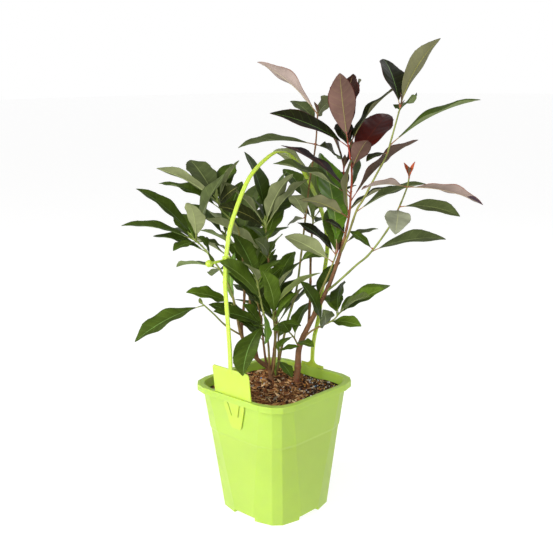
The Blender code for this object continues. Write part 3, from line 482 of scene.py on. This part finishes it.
def between(code, other, share):
    """The colour some way from one to the other."""
    return "".join(f"{round(a + (b - a) * share):02x}" for a, b in zip(channels(code), channels(other)))


def set_inputs(node, values):
    """Gives a node's inputs their uniform values."""
    for name, value in values.items():
        node.inputs[name].default_value = value


def add_object(name, data):
    """A new object in the scene."""
    made = bpy.data.objects.new(name, data)
    bpy.context.scene.collection.objects.link(made)
    return made


def new_material(name):
    """A new material, its node tree and its shader."""
    made = bpy.data.materials.new(name)
    made.use_nodes = True
    return made, made.node_tree, made.node_tree.nodes["Principled BSDF"]


def noise_node(tree, scale, detail=DETAIL):
    """A noise pattern laid in the object's own space."""
    place = tree.nodes.new("ShaderNodeTexCoord")
    made = tree.nodes.new("ShaderNodeTexNoise")
    set_inputs(made, {"Scale": scale, "Detail": detail})
    tree.links.new(place.outputs["Object"], made.inputs["Vector"])
    return made


def spread_colour(tree, shader, code, pattern, spread):
    """Lets the base colour wander a little round its value, as the pattern says."""
    ramp = tree.nodes.new("ShaderNodeValToRGB")
    for element, at, change in zip(ramp.color_ramp.elements, COLOUR_BAND, (-spread, spread)):
        element.position = at
        element.color = (*[min(1.0, part * (1 + change)) for part in linear(code)], 1)
    tree.links.new(pattern.outputs["Fac"], ramp.inputs["Fac"])
    tree.links.new(ramp.outputs["Color"], shader.inputs["Base Color"])


def bump(tree, shader, pattern, strength, distance):
    """A fine relief, as the pattern says."""
    made = tree.nodes.new("ShaderNodeBump")
    set_inputs(made, {"Strength": strength, "Distance": distance})
    tree.links.new(pattern.outputs["Fac"], made.inputs["Height"])
    tree.links.new(made.outputs["Normal"], shader.inputs["Normal"])


@cache
def material(kind, name, code):
    """A finish in one colour, made once: a wandering colour, a fine grain, and a wax coat if any."""
    roughness, gloss, coat, spread, grain, relief = FINISHES[kind]
    made, tree, shader = new_material(f"{kind}_{name}")
    spread_colour(tree, shader, code, noise_node(tree, grain * CLOUD_SCALE), spread)
    bump(tree, shader, noise_node(tree, grain), GRAIN_STRENGTH, relief)
    set_inputs(shader, {"Roughness": roughness, "Specular IOR Level": gloss, "Coat Weight": coat,
                        "Coat Roughness": COAT_ROUGHNESS})
    return made


def plastic_material(name, code, roughness, depth):
    """Moulded plastic: a fine satin grain, faint clouding, and light that goes some way in."""
    made, tree, shader = new_material(name)
    set_inputs(shader, {"Roughness": roughness, "Specular IOR Level": PLASTIC_GLOSS,
                        "Subsurface Weight": PLASTIC_GLOW, "Subsurface Radius": PLASTIC_LIGHT,
                        "Subsurface Scale": depth})
    spread_colour(tree, shader, code, noise_node(tree, PLASTIC_CLOUDS), PLASTIC_SPREAD)
    grain = noise_node(tree, PLASTIC_GRAIN, PLASTIC_DETAIL)
    bump(tree, shader, grain, PLASTIC_BUMP, PLASTIC_RELIEF)
    return made


class Shape:
    """Points and faces gathered for one piece, with a material for each face."""

    def __init__(self):
        self.points, self.faces, self.finishes, self.slots = [], [], [], []

    def add(self, points, faces, finishes):
        """Takes in points, and faces with a material each."""
        start = len(self.points)
        self.points.extend(points)
        self.faces.extend([[start + i for i in face] for face in faces])
        for finish in finishes:
            if finish not in self.slots:
                self.slots.append(finish)
        self.finishes.extend(self.slots.index(finish) for finish in finishes)

    def build(self, name, smooth=True):
        """The gathered mesh as an object of the scene."""
        mesh = bpy.data.meshes.new(name)
        mesh.from_pydata([tuple(point) for point in self.points], [], self.faces)
        for finish in self.slots:
            mesh.materials.append(finish)
        mesh.polygons.foreach_set("material_index", self.finishes)
        if smooth:
            mesh.shade_smooth()
        return add_object(name, mesh)


def place_piece(made, slot, *nodes):
    """Seats a piece on the part's body, in place of the solids that it stands for."""
    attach(made, "root")
    if nodes:
        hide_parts(*nodes)


def placed(point):
    """A point of the layout, turned and scaled to the frame."""
    return Matrix.Rotation(VIEW_TURN, 3, "Z") @ Vector(point) * MM


def smooth_path(points, spacing):
    """Even points on a smooth curve through the given ones."""
    ends = [2 * points[0] - points[1], *points, 2 * points[-1] - points[-2]]
    path = []
    for a, b, c, d in zip(ends, ends[1:], ends[2:], ends[3:]):
        steps = max(1, round((c - b).length / spacing))
        for i in range(steps):
            t = i / steps
            path.append(0.5 * (2 * b + (c - a) * t + (2 * a - 5 * b + 4 * c - d) * t * t
                               + (3 * b - a - 3 * c + d) * t ** 3))
    path.append(points[-1])
    return path


def limb_path(points, spacing=LIMB_SPACING):
    """The smooth path of a limb or shoot, in the frame."""
    return smooth_path([placed(point) for point in points], spacing)


def along_path(path, share):
    """The point at a share of the path's length, and the way it runs there."""
    lengths = [(b - a).length for a, b in zip(path, path[1:])]
    left = share * sum(lengths)
    for i, length in enumerate(lengths):
        if left <= length or i == len(lengths) - 1:
            way = (path[i + 1] - path[i]).normalized()
            return path[i] + way * min(left, length), way
        left -= length


class Leaf:
    """A leaf's foot on its shoot, the way to its tip, the way its upper face looks, and its reach."""

    def __init__(self, foot, aim, face, reach, width):
        self.foot, self.aim, self.face, self.reach, self.width = foot, aim, face, reach, width
        self.side = aim.cross(face)
        self.tone = None

    def middle(self, t):
        """The midrib, which arches towards the leaf's upper face."""
        return self.foot + self.reach * (self.aim * t + self.face * BLADE_ARCH * 4 * t * (1 - t))


def half_width(u):
    """How wide the blade is at one station, as a share of its greatest: widest past the middle."""
    return sin(pi * u ** BLADE_SHIFT) ** BLADE_ROUND if 0 < u < 1 else 0.0


def clock_aim(clock, toward):
    """A direction from an hour on the clock face and a lean towards the viewer."""
    turn = radians(DEGREES_AN_HOUR * clock)
    lean = radians(toward)
    return seen(cos(lean) * sin(turn), -sin(lean), cos(lean) * cos(turn))


def seen(right, away, up):
    """A direction given as the viewer sees it, who looks down a little."""
    look = Matrix.Rotation(LEAF_TURN, 3, "Z") @ Matrix.Rotation(LEAF_TILT, 3, "X")
    return look @ Vector((right, away, up))


def square_to(aim, way):
    """The part of a direction that is square to the aim."""
    return (way - aim * way.dot(aim)).normalized()


def leaf_width(reach, draw):
    """A blade's greatest width, which varies a little from leaf to leaf."""
    return BLADE_RATIO * reach * draw.uniform(1 - WIDTH_SPREAD, 1 + WIDTH_SPREAD)


def shown_leaf(path, row, draw, nudge):
    """A leaf that the near side shows, nudged when its first place is taken."""
    share, clock, toward, reach, turn = row
    foot, _ = along_path(path, share)
    clock += nudge * draw.uniform(-NUDGE_CLOCK, NUDGE_CLOCK)
    aim = clock_aim(clock, toward + nudge * draw.uniform(-NUDGE_LEAN, NUDGE_LEAN))
    turn = radians(turn + nudge * draw.uniform(-NUDGE_FACE, NUDGE_FACE))
    viewer = square_to(aim, seen(0, -1, 0))
    upward = viewer.cross(aim)
    if upward.z < 0:
        upward.negate()
    face = viewer * cos(turn) + upward * sin(turn)
    reach *= MM * (1 - NUDGE_REACH * nudge)
    return Leaf(foot, aim, face, reach, leaf_width(reach, draw))


def ruled_leaf(path, share, turn, size, rear, draw, nudge):
    """A leaf of an opposite pair, which looks outward from its shoot and upward."""
    foot, way = along_path(path, share)
    across = way.cross(UP).normalized()
    outward = Matrix.Rotation(turn + nudge * draw.uniform(-NUDGE_TURN, NUDGE_TURN), 3, way) @ across
    off = nudge * draw.uniform(-NUDGE_SPREAD, NUDGE_SPREAD)
    spread = radians(SPREAD_FOOT - SPREAD_LOSS * share + off)
    aim = (outward * sin(spread) + way * cos(spread)).normalized()
    away = seen(0, 1, 0)
    if rear and aim.dot(away) < REAR_LEAST:
        aim = (aim + away * (REAR_AIM - aim.dot(away))).normalized()
    reach = size * MM * draw.uniform(*RULE_REACH)
    roll = Matrix.Rotation(draw.uniform(-RULE_ROLL, RULE_ROLL), 3, aim)
    return Leaf(foot, aim, roll @ square_to(aim, UP), reach, leaf_width(reach, draw))


def kept_leaf(tips, make, tone):
    """The first nudge of a leaf whose tip is in the frame's solid, or none."""
    for attempt in range(LEAF_TRIES):
        leaf = make(attempt / LEAF_TRIES)
        if tips.find(leaf.middle(1.0))[2] < SAME_TIP:
            leaf.tone = tone
            return leaf
    return None


def node_points(node):
    """The solid's corners, for finding the leaves that it holds."""
    tree = KDTree(len(node.data.vertices))
    for vert in node.data.vertices:
        tree.insert(vert.co, vert.index)
    tree.balance()
    return tree


def grow_leaves(nodes):
    """Each shoot's leaves, as its solid has them: those that the near side shows, and pairs by rule."""
    grown = {}
    for name, (points, _, pairs, size, _, tones, rows) in SHOOTS.items():
        path = limb_path(points)
        tips = node_points(nodes[f"foliage_{name}"])
        draw = random.Random(f"{SEED} {name}")
        leaves = [kept_leaf(tips, lambda nudge: shown_leaf(path, row[:5], draw, nudge), row[5])
                  for row in rows]
        draw = random.Random(f"{SEED} {name} pairs")
        highest, run = REAR_SHARES if rows else FREE_SHARES
        for i in range(pairs):
            share = highest - run * i / pairs
            first = radians(PAIR_TURN * i) + draw.uniform(-PAIR_JITTER, PAIR_JITTER)
            for turn in (first, first + pi):
                leaves.append(kept_leaf(
                    tips, lambda nudge: ruled_leaf(path, share, turn, size, bool(rows), draw, nudge),
                    tones[i % len(tones)]))
        grown[name] = [leaf for leaf in leaves if leaf]
    return grown


def blade_rows():
    """Stations down the midrib, with a close pair at each side vein, and which strips are veins."""
    first, last = VEIN_SPAN
    gap = (last - first) / (VEIN_PAIRS - 1)
    rows = [0.0]
    veins = set()
    for k in range(VEIN_PAIRS):
        centre = first + gap * k
        veins.add(len(rows))
        rows += [centre - VEIN_HALF, centre + VEIN_HALF]
        if k < VEIN_PAIRS - 1:
            rows += [centre + gap * share for share in ROWS_BETWEEN]
    return [*rows, *TIP_ROWS], veins


BLADE_ROWS, VEIN_STRIPS = blade_rows()


class Blade:
    """The fine form of one leaf: how it sways, waves and curls, by its own draw."""

    def __init__(self, leaf, draw):
        self.leaf = leaf
        self.slim = BUD_SLIM if leaf.tone == "bud" else 1.0
        self.sway = draw.uniform(-SWAY, SWAY)
        self.curl = draw.uniform(*CURL_DRAW) * TIP_CURL
        self.wave = draw.uniform(*WAVE_DRAW) * WAVE
        self.waves = draw.uniform(*WAVE_COUNT)
        self.start = draw.uniform(0, tau)
        self.quilt = QUILT * leaf.reach * draw.uniform(*QUILT_DRAW)
        if leaf.tone == "bright":
            self.quilt *= BRIGHT_QUILT

    def rib(self, t):
        """A point of the midrib, and the ways along it and up from it."""
        leaf = self.leaf
        slope = BLADE_ARCH * 4 * (1 - 2 * t)
        along = (leaf.aim + leaf.face * slope).normalized()
        sideways = leaf.side * self.sway * 4 * t * (1 - t)
        down = leaf.face * self.curl * max(0.0, t - CURL_FROM) ** 2 * CURL_RATE
        return leaf.middle(t) + (sideways - down) * leaf.reach, along, leaf.side.cross(along)

    def point(self, row, v, lift, tooth):
        """A point of the blade, from its row, share of the half-width, lift and tooth."""
        leaf = self.leaf
        u = row + VEIN_FORWARD * 4 * row * (1 - row) * abs(v) ** VEIN_BEND
        t = PETIOLE + (1 - PETIOLE) * u
        at, _, up = self.rib(t)
        half = max(STALK * BLADE_LEAST, leaf.width / 2 * self.slim * half_width(u)) * (1 + tooth)
        first, last = VEIN_SPAN
        phase = (row - first) / (last - first) * (VEIN_PAIRS - 1)
        swell = 0.5 - 0.5 * cos(tau * phase)
        bulge = self.quilt * swell * (1 - (2 * abs(v) - 1) ** 2)
        turn = self.waves * tau * u + self.start + (v > 0) * EDGE_SHIFT
        wavy = self.wave * half * v * v * sin(turn)
        fold = BLADE_FOLD * half * abs(v) ** FOLD_BEND
        return at + leaf.side * half * v + up * (fold + bulge + wavy + lift)


def leaf_finishes(tone):
    """A tone's materials: each side with its midrib and veins, and its own margin and tip if any."""
    codes = dict(zip(TONE_PARTS, TONES[tone]))
    ribs = {"upper": codes.get("rib") or codes["vein"], "under": codes["vein"]}
    gloss = "glossy" if tone in GLOSSY_TONES else "leaf"
    made = {}
    for side, kind in (("upper", gloss), ("under", "under")):
        made[side] = material(kind, tone, codes[side])
        made[f"{side}_rib"] = material("vein", f"{tone}_{side}", ribs[side])
        tint = between(codes[side], ribs[side], VEIN_TINT)
        made[f"{side}_vein"] = material(kind, f"{tone}_vein", tint)
    for part, kind in (("margin", "vein"), ("tip", "leaf")):
        made[part] = material(kind, f"{tone}_{part}", codes[part]) if codes.get(part) else None
    return made


def strip_finish(made, side, row, column):
    """The material of one face of the blade, by its side, row and column."""
    middle = len(COLUMNS) // 2 - 1
    edge = column in (0, len(COLUMNS) - 2)
    if column == middle:
        return made[f"{side}_rib"]
    if edge and made["margin"]:
        return made["margin"]
    if made["tip"] and BLADE_ROWS[row] > TIP_BAND:
        return made["tip"]
    return made[f"{side}_vein" if row in VEIN_STRIPS and not edge else side]


def add_blade(shape, leaf, draw):
    """A closed thin blade: veined and quilted above, ribbed below, faintly toothed towards the tip."""
    blade = Blade(leaf, draw)
    made = leaf_finishes(leaf.tone)
    points, faces, finishes = [], [], []
    count = len(COLUMNS)
    for lift in (BLADE_THICK / 2, -BLADE_THICK / 2):
        for i, row in enumerate(BLADE_ROWS):
            toothed = TOOTH * min(1.0, max(0.0, row - TOOTH_FROM) * TOOTH_RISE) * (i in VEIN_STRIPS)
            for v in COLUMNS:
                points.append(blade.point(row, v, lift, toothed if abs(v) == 1 else 0.0))
    size = len(BLADE_ROWS) * count
    end, _, _ = blade.rib(1.0)
    points.append(end)
    for number, side in enumerate(("upper", "under")):
        start = number * size
        for i in range(len(BLADE_ROWS) - 1):
            for j in range(count - 1):
                a = start + i * count + j
                face = [a, a + 1, a + count + 1, a + count]
                faces.append(face[::-1] if number else face)
                finishes.append(strip_finish(made, side, i, j))
        last = start + size - count
        for j in range(count - 1):
            face = [last + j, last + j + 1, 2 * size]
            faces.append(face[::-1] if number else face)
            finishes.append(made["tip"] or made[side])
    for edge in (0, count - 1):
        for i in range(len(BLADE_ROWS) - 1):
            a, b = i * count + edge, (i + 1) * count + edge
            face = [a, b, b + size, a + size]
            faces.append(face if edge == 0 else face[::-1])
            finishes.append(made["margin"] or made["upper"])
    foot = list(range(count))
    faces.append(foot[::-1] + [size + j for j in foot])
    finishes.append(made["under_rib"])
    shape.add(points, faces, finishes)
    return blade


def ring_points(at, across, other, radius, sides):
    """Points round one place of a tube."""
    turns = [tau * i / sides for i in range(sides)]
    return [at + (across * cos(turn) + other * sin(turn)) * radius for turn in turns]


def tube_faces(rings, sides):
    """Faces along a tube of rings, open at both ends."""
    faces = []
    for row in range(rings - 1):
        for i in range(sides):
            j = (i + 1) % sides
            a, b = row * sides + i, row * sides + j
            faces.append([a, b, b + sides, a + sides])
    return faces


def add_stalk(shape, blade, kind):
    """The leaf's stalk, which runs on as the rib under its blade."""
    finishes = [material("stalk", f"{kind}_{i}", code) for i, code in enumerate(STALKS[kind])]
    finishes.append(leaf_finishes(blade.leaf.tone)["under_rib"])
    points, rings = [], []
    for step in range(STALK_STEPS + 1):
        t = step / STALK_STEPS * RIB_RUN
        at, _, up = blade.rib(t)
        swell = STALK_SWELL * exp(-t * SWELL_FADE)
        radius = (RIB_TIP + (STALK * STALK_SHARE - RIB_TIP) * (1 - t) ** RIB_TAPER) * (1 + swell)
        sink = min(1.0, max(0.0, t - PETIOLE * SINK_FROM) / PETIOLE) * radius * RIB_SINK
        points += ring_points(at - up * sink, blade.leaf.side, up, radius, STALK_SIDES)
        rings.append(next(finish for end, finish in zip(STALK_ENDS, finishes) if t < PETIOLE * end))
    faces = tube_faces(len(rings), STALK_SIDES)
    shape.add(points, faces, [rings[i // STALK_SIDES] for i in range(len(faces))])


def add_bud(shape, at, along, length, finish):
    """A small pointed bud."""
    points = []
    across = along.orthogonal().normalized()
    for i in range(BUD_STEPS):
        t = i / BUD_STEPS
        size = BUD_RADIUS * sin(pi * (BUD_FROM + BUD_SPAN * t)) ** BUD_ROUND
        points += ring_points(at + along * length * t, across, along.cross(across), size, BUD_SIDES)
    points.append(at + along * length)
    faces = tube_faces(BUD_STEPS, BUD_SIDES)
    top = (BUD_STEPS - 1) * BUD_SIDES
    faces += [[top + i, top + (i + 1) % BUD_SIDES, len(points) - 1] for i in range(BUD_SIDES)]
    shape.add(points, faces, [finish] * len(faces))


def bark_finish(place):
    """The ramp's material at a place: brown to green, or, below zero, to the red of copper shoots."""
    ramp, prefix = (COPPER_RAMP, "copper_") if place < 0 else (BARK_RAMP, "")
    step = min(len(ramp) - 1, int(abs(place) * len(ramp)))
    return material("bark", f"{prefix}{step}", ramp[step])


def add_limb(shape, path, foot, tip, ramp, flare, draw):
    """A tapering limb with ridged bark and a swollen joint every so often."""
    lengths = [0.0]
    for a, b in zip(path, path[1:]):
        lengths.append(lengths[-1] + (b - a).length)
    total = lengths[-1]
    joints = [total - JOINT_SPACING * (i + draw.uniform(-JOINT_JITTER, JOINT_JITTER))
              for i in range(1, JOINT_MOST + 1)]
    joints = [joint for joint in joints if joint > JOINT_LENGTH]
    points, places = [], []
    start = draw.uniform(0, RIDGE_START)
    across = (path[1] - path[0]).normalized().orthogonal().normalized()
    for i, at in enumerate(path):
        along = (path[min(i + 1, len(path) - 1)] - path[max(i - 1, 0)]).normalized()
        across = square_to(along, across)
        other = along.cross(across)
        t = lengths[i] / total
        radius = (foot + (tip - foot) * t) / 2 + flare * exp(-FLARE_FADE * t)
        swell = sum(exp(-((lengths[i] - joint) / JOINT_LENGTH) ** 2) for joint in joints)
        radius *= 1 + JOINT_SWELL * min(1.0, swell)
        for k in range(BARK_SIDES):
            turn = tau * k / BARK_SIDES
            x, y = cos(turn), sin(turn)
            spot = Vector((x * RIDGE_ROUND, y * RIDGE_ROUND, lengths[i] * RIDGE_ALONG + start))
            size = radius * (1 + RIDGE * noise.noise(spot))
            points.append(at + (across * x + other * y) * size)
        places.append(ramp[0] + (ramp[1] - ramp[0]) * t)
    faces = tube_faces(len(path), BARK_SIDES)
    stray = BARK_STRAY if min(ramp) >= 0 else 0.0
    finishes = [bark_finish(places[n // BARK_SIDES] + draw.uniform(-stray, stray))
                for n in range(len(faces))]
    faces.append(list(range(BARK_SIDES))[::-1])
    faces.append([(len(path) - 1) * BARK_SIDES + k for k in range(BARK_SIDES)])
    finishes += [bark_finish(places[0]), bark_finish(places[-1])]
    shape.add(points, faces, finishes)


def build_limbs():
    """The stems and boughs, each with the relief of its bark."""
    for name, (points, foot, tip, ramp) in LIMBS.items():
        draw = random.Random(f"{SEED} {name} bark")
        shape = Shape()
        flare = FLARE if name.startswith("stem") else 0.0
        add_limb(shape, limb_path(points, RING_SPACING), foot * MM, tip * MM, ramp, flare, draw)
        place_piece(shape.build(f"bark_{name}"), "bark", name)


def young_leaf(foot, way, draw):
    """A small young leaf close by a shoot's tip."""
    across = way.orthogonal().normalized()
    outward = Matrix.Rotation(draw.uniform(0, tau), 3, way) @ across
    aim = (way + outward * draw.uniform(*YOUNG_SPREAD)).normalized()
    reach = draw.uniform(*YOUNG_REACH) * MM
    return Leaf(foot, aim, square_to(aim, -outward), reach, BLADE_RATIO * YOUNG_SLIM * reach)


def build_masses(grown):
    """Each mass of foliage: its twig with stalks and buds, and its leaves."""
    for name, (points, foot, _, _, ramp, _, _) in SHOOTS.items():
        draw = random.Random(f"{SEED} {name} looks")
        kind = STALK_KINDS.get(name, "green")
        leaves, twigs = Shape(), Shape()
        path = limb_path(points, RING_SPACING)
        add_limb(twigs, path, foot * MM, SHOOT_TIP, ramp, 0.0, draw)
        bud_finish = bark_finish(GREEN_BUD if kind == "green" else RED_BUD)
        for leaf in grown[name]:
            add_stalk(twigs, add_blade(leaves, leaf, draw), kind)
            add_bud(twigs, leaf.foot, (leaf.aim + leaf.face).normalized(), SIDE_BUD, bud_finish)
        end, way = along_path(path, 1.0)
        add_bud(twigs, end, way, END_BUD, bud_finish)
        for _ in range(YOUNG_COUNT):
            leaf = young_leaf(end, way, draw)
            leaf.tone = "fresh" if kind == "green" else "bronze"
            add_stalk(twigs, add_blade(leaves, leaf, draw), kind)
        slot = "copper_foliage" if name in COPPER_SHOOTS else "foliage"
        place_piece(leaves.build(f"leaves_{name}"), slot, f"foliage_{name}")
        place_piece(twigs.build(f"twigs_{name}"), "bark")


def pot_section(section, inset):
    """The pot's outline at one height: four main sides, four corner facets and the facets between."""
    side, half, corner, facet = (size * (1 - inset / section[0]) for size in section)
    root = sqrt(2)
    quarter = [(side, half), ((corner + facet) / root, (corner - facet) / root),
               ((corner - facet) / root, (corner + facet) / root), (half, side)]
    turns = [Matrix.Rotation(radians(90 * i), 2) for i in range(4)]
    return [turn @ Vector(point) for turn in turns for point in quarter]


def wall_at(height, inset):
    """The wall's outline at a height, drawn in by the inset."""
    t = height / (POT_HEIGHT - RIM_DEPTH)
    blend = [foot + (top - foot) * t for foot, top in zip(WALL_FOOT_SECTION, WALL_TOP_SECTION)]
    return pot_section(blend, inset)


def reach_inside(outline, turn):
    """How far the outline lies from the middle in one direction."""
    way = Vector((cos(turn), sin(turn)))
    best = inf
    for a, b in zip(outline, outline[1:] + outline[:1]):
        edge = b - a
        cross = way.x * edge.y - way.y * edge.x
        if abs(cross) > PARALLEL:
            distance = (a.x * edge.y - a.y * edge.x) / cross
            share = (a.x * way.y - a.y * way.x) / cross
            if distance > 0 and -SLACK <= share <= 1 + SLACK:
                best = min(best, distance)
    return best


def soil_height(x, y):
    """The mulch's top: low humps, held a little below the rim."""
    bumps = [share * noise.noise(Vector((x * rate, y * rate, z))) for rate, z, share in SOIL_NOISE]
    return SOIL_LEVEL + SOIL_BUMPS * (bumps[0] + bumps[1]) - SOIL_BUMPS * SOIL_DROP


def build_soil():
    """The filled pot: a body under a humped top, bark chips of several browns, and a few pellets."""
    outline = wall_at(SOIL_LEVEL, WALL_INSET)
    foot_line = wall_at(BASE_TOP, WALL_INSET)
    turns = [tau * i / SOIL_CELLS for i in range(SOIL_CELLS)]
    reaches = [reach_inside(outline, turn) for turn in turns]
    points, faces = [Vector((0, 0, soil_height(0, 0)))], []
    for ring in range(1, SOIL_RINGS + 1):
        for turn, reach in zip(turns, reaches):
            x, y = (reach * ring / SOIL_RINGS * part for part in (cos(turn), sin(turn)))
            points.append(Vector((x, y, soil_height(x, y))))
    for turn in turns:
        reach = reach_inside(foot_line, turn)
        points.append(Vector((reach * cos(turn), reach * sin(turn), BASE_TOP)))
    for i in range(SOIL_CELLS):
        j = (i + 1) % SOIL_CELLS
        faces.append([0, 1 + i, 1 + j])
        for ring in range(SOIL_RINGS):
            a, b = 1 + ring * SOIL_CELLS + i, 1 + ring * SOIL_CELLS + j
            faces.append([a, a + SOIL_CELLS, b + SOIL_CELLS, b])
    faces.append([1 + SOIL_RINGS * SOIL_CELLS + i for i in reversed(range(SOIL_CELLS))])
    base = Shape()
    # The body's near-black is painted shade for the gaps between the chips.
    base.add(points, faces, [material("crumb", "mulch", MULCH_GAP_SHADE)] * len(faces))
    place_piece(base.build("mulch_body"), "potting_mix", "potting_mix")
    build_chips(outline)


def scattered(outline, draw, inset):
    """A random place within the outline."""
    turn = draw.uniform(0, tau)
    reach = (reach_inside(outline, turn) - inset) * sqrt(draw.random())
    return reach * cos(turn), reach * sin(turn)


def grit_share(x, y):
    """How far grit has taken over at a place, from its distance to the right."""
    right = (x + y) / sqrt(2)
    return min(1.0, max(0.0, (right - GRIT_FROM) / GRIT_RUN))


def pellet_place(outline, draw):
    """A random place, more often among the grit."""
    while True:
        x, y = scattered(outline, draw, PELLET_RADIUS[1] * PELLET_INSET)
        if draw.random() < STRAY_PELLETS + grit_share(x, y):
            return x, y


def build_chips(outline):
    """The mulch's top: shreds of bark, grit, and pellets."""
    draw = random.Random(f"{SEED} chips")
    chips = Shape()
    names = list(CHIP_COLOURS)
    for _ in range(CHIP_COUNT):
        length = draw.uniform(0, 1) ** 2 * (CHIP_LENGTH[1] - CHIP_LENGTH[0]) + CHIP_LENGTH[0]
        x, y = scattered(outline, draw, length / 2)
        weights = CHIP_WEIGHTS
        if draw.random() < grit_share(x, y):
            length *= GRIT_LENGTH
            weights = GRIT_WEIGHTS
        at = Vector((x, y, soil_height(x, y)))
        add_chip(chips, at, length, draw, draw.choices(names, weights)[0])
    place_piece(chips.build("mulch_chips", smooth=False), "potting_mix")
    pellets = Shape()
    for colour, (count, code) in PELLETS.items():
        finish = material("crumb", f"pellet_{colour}", code)
        for _ in range(count):
            x, y = pellet_place(outline, draw)
            radius = draw.uniform(*PELLET_RADIUS)
            at = Vector((x, y, soil_height(x, y) + radius * PELLET_LIFT))
            add_pellet(pellets, at, radius, finish)
    place_piece(pellets.build("mulch_pellets"), "potting_mix")


def add_chip(shape, at, length, draw, colour):
    """A splinter of bark: a bent, tapering slab that lies nearly flat."""
    width = length * draw.uniform(*CHIP_SHARE) / 2
    thick = width * draw.uniform(*CHIP_THICK)
    turn = Matrix.Rotation(draw.uniform(0, tau), 3, "Z")
    rolls = [Matrix.Rotation(draw.gauss(0, tip), 3, axis) for tip, axis in zip(CHIP_TIP, "YX")]
    tilt = rolls[0] @ rolls[1]
    bend = draw.uniform(-CHIP_BEND, CHIP_BEND) * length
    ends = [draw.uniform(*span) for span in CHIP_ENDS]
    lift = Vector((0, 0, thick * CHIP_LIFT))
    points = []
    for t, share in ((-0.5, ends[0]), (0.0, 1.0), (0.5, ends[1])):
        for y, z in ((-1, -1), (1, -1), (1, 1), (-1, 1)):
            across = y * width * share * draw.uniform(*CHIP_SIDES) + bend * (0.25 - t * t)
            upward = z * thick * draw.uniform(*CHIP_FACES) * share
            points.append(at + turn @ (tilt @ Vector((t * length, across, upward))) + lift)
    faces = [[3, 2, 1, 0], [8, 9, 10, 11]] + tube_faces(3, 4)
    finish = material("crumb", f"chip_{colour}", CHIP_COLOURS[colour])
    shape.add(points, faces, [finish] * len(faces))


def add_pellet(shape, at, radius, finish):
    """A pellet: a small ball."""
    bm = bmesh.new()
    bmesh.ops.create_icosphere(bm, subdivisions=2, radius=radius)
    points = [at + vert.co for vert in bm.verts]
    faces = [[vert.index for vert in face.verts] for face in bm.faces]
    bm.free()
    shape.add(points, faces, [finish] * len(faces))


def finish_plastic(node, finish, width):
    """Gives a moulded node its plastic and softly rounded edges."""
    node.data.materials.clear()
    node.data.materials.append(finish)
    weld = node.modifiers.new("Weld", "WELD")
    weld.merge_threshold = WELD_GAP
    bevel = node.modifiers.new("Round", "BEVEL")
    bevel.width = width
    bevel.segments = ROUND_SEGMENTS
    bevel.limit_method = "ANGLE"
    bevel.angle_limit = ROUND_ABOVE
    bevel.harden_normals = True


def add_camera():
    """The photo's own view, over the pot's near corner."""
    turns = ((-CAMERA_AZIMUTH, "Z"), (CAMERA_PITCH + pi / 2, "X"), (CAMERA_ROLL, "Z"))
    heading, pitch, roll = (Matrix.Rotation(turn, 4, axis) for turn, axis in turns)
    data = bpy.data.cameras.new("camera")
    data.sensor_width = SENSOR
    data.lens = FOCAL_PIXELS * SENSOR / PICTURE_SIDE
    camera = add_object("camera", data)
    place = Matrix.Rotation(VIEW_TURN, 4, "Z") @ Matrix.Translation(CAMERA_AT)
    camera.matrix_world = place @ heading @ pitch @ roll
    bpy.context.scene.camera = camera


def add_sky():
    """White surroundings that dim from the horizon up, with colours shown as they are."""
    world = bpy.data.worlds.new("studio")
    world.use_nodes = True
    surroundings = world.node_tree.nodes["Background"]
    nodes, links = world.node_tree.nodes, world.node_tree.links
    place = nodes.new("ShaderNodeTexCoord")
    split = nodes.new("ShaderNodeSeparateXYZ")
    height = nodes.new("ShaderNodeMapRange")
    sky = nodes.new("ShaderNodeValToRGB")
    height.inputs["From Min"].default_value = -1
    for _ in SKY[2:]:
        sky.color_ramp.elements.new(0.5)
    for element, (at, light) in zip(sky.color_ramp.elements, SKY):
        element.position = at
        element.color = (light, light, light, 1)
    links.new(place.outputs["Generated"], split.inputs["Vector"])
    links.new(split.outputs["Z"], height.inputs["Value"])
    links.new(height.outputs["Result"], sky.inputs["Fac"])
    links.new(sky.outputs["Color"], surroundings.inputs["Color"])
    bpy.context.scene.world = world
    bpy.context.scene.view_settings.view_transform = "Standard"


def add_lights():
    """A strong key light from the left, a larger soft one in front, and a weak one behind."""
    for name, (place, size, power) in LIGHTS.items():
        data = bpy.data.lights.new(name, "AREA")
        data.size = size
        data.energy = power
        light = add_object(name, data)
        light.location = Matrix.Rotation(VIEW_TURN, 3, "Z") @ place
        light.rotation_euler = (AIM_AT - light.location).to_track_quat("-Z", "Y").to_euler()


def add_floor():
    """A wide pale floor that glows a little."""
    bm = bmesh.new()
    bmesh.ops.create_grid(bm, x_segments=1, y_segments=1, size=FLOOR_SIDE / 2)
    mesh = bpy.data.meshes.new("floor")
    bm.to_mesh(mesh)
    bm.free()
    made, _, shader = new_material("floor")
    set_inputs(shader, {"Base Color": (*linear(FLOOR_GREY), 1), "Roughness": FLOOR_ROUGHNESS,
                        "Emission Color": (1, 1, 1, 1), "Emission Strength": FLOOR_GLOW})
    mesh.materials.append(made)
    add_object("floor", mesh)


def main():
    """Dresses the frame's solids."""
    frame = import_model()
    add_camera()
    add_sky()
    add_lights()
    add_floor()
    for name, (code, roughness, depth, rounding) in PLASTICS.items():
        finish = plastic_material(f"{name}_plastic", code, roughness, depth)
        finish_plastic(frame["nodes"][name], finish, rounding)
    build_soil()
    build_limbs()
    build_masses(grow_leaves(frame["nodes"]))


main()
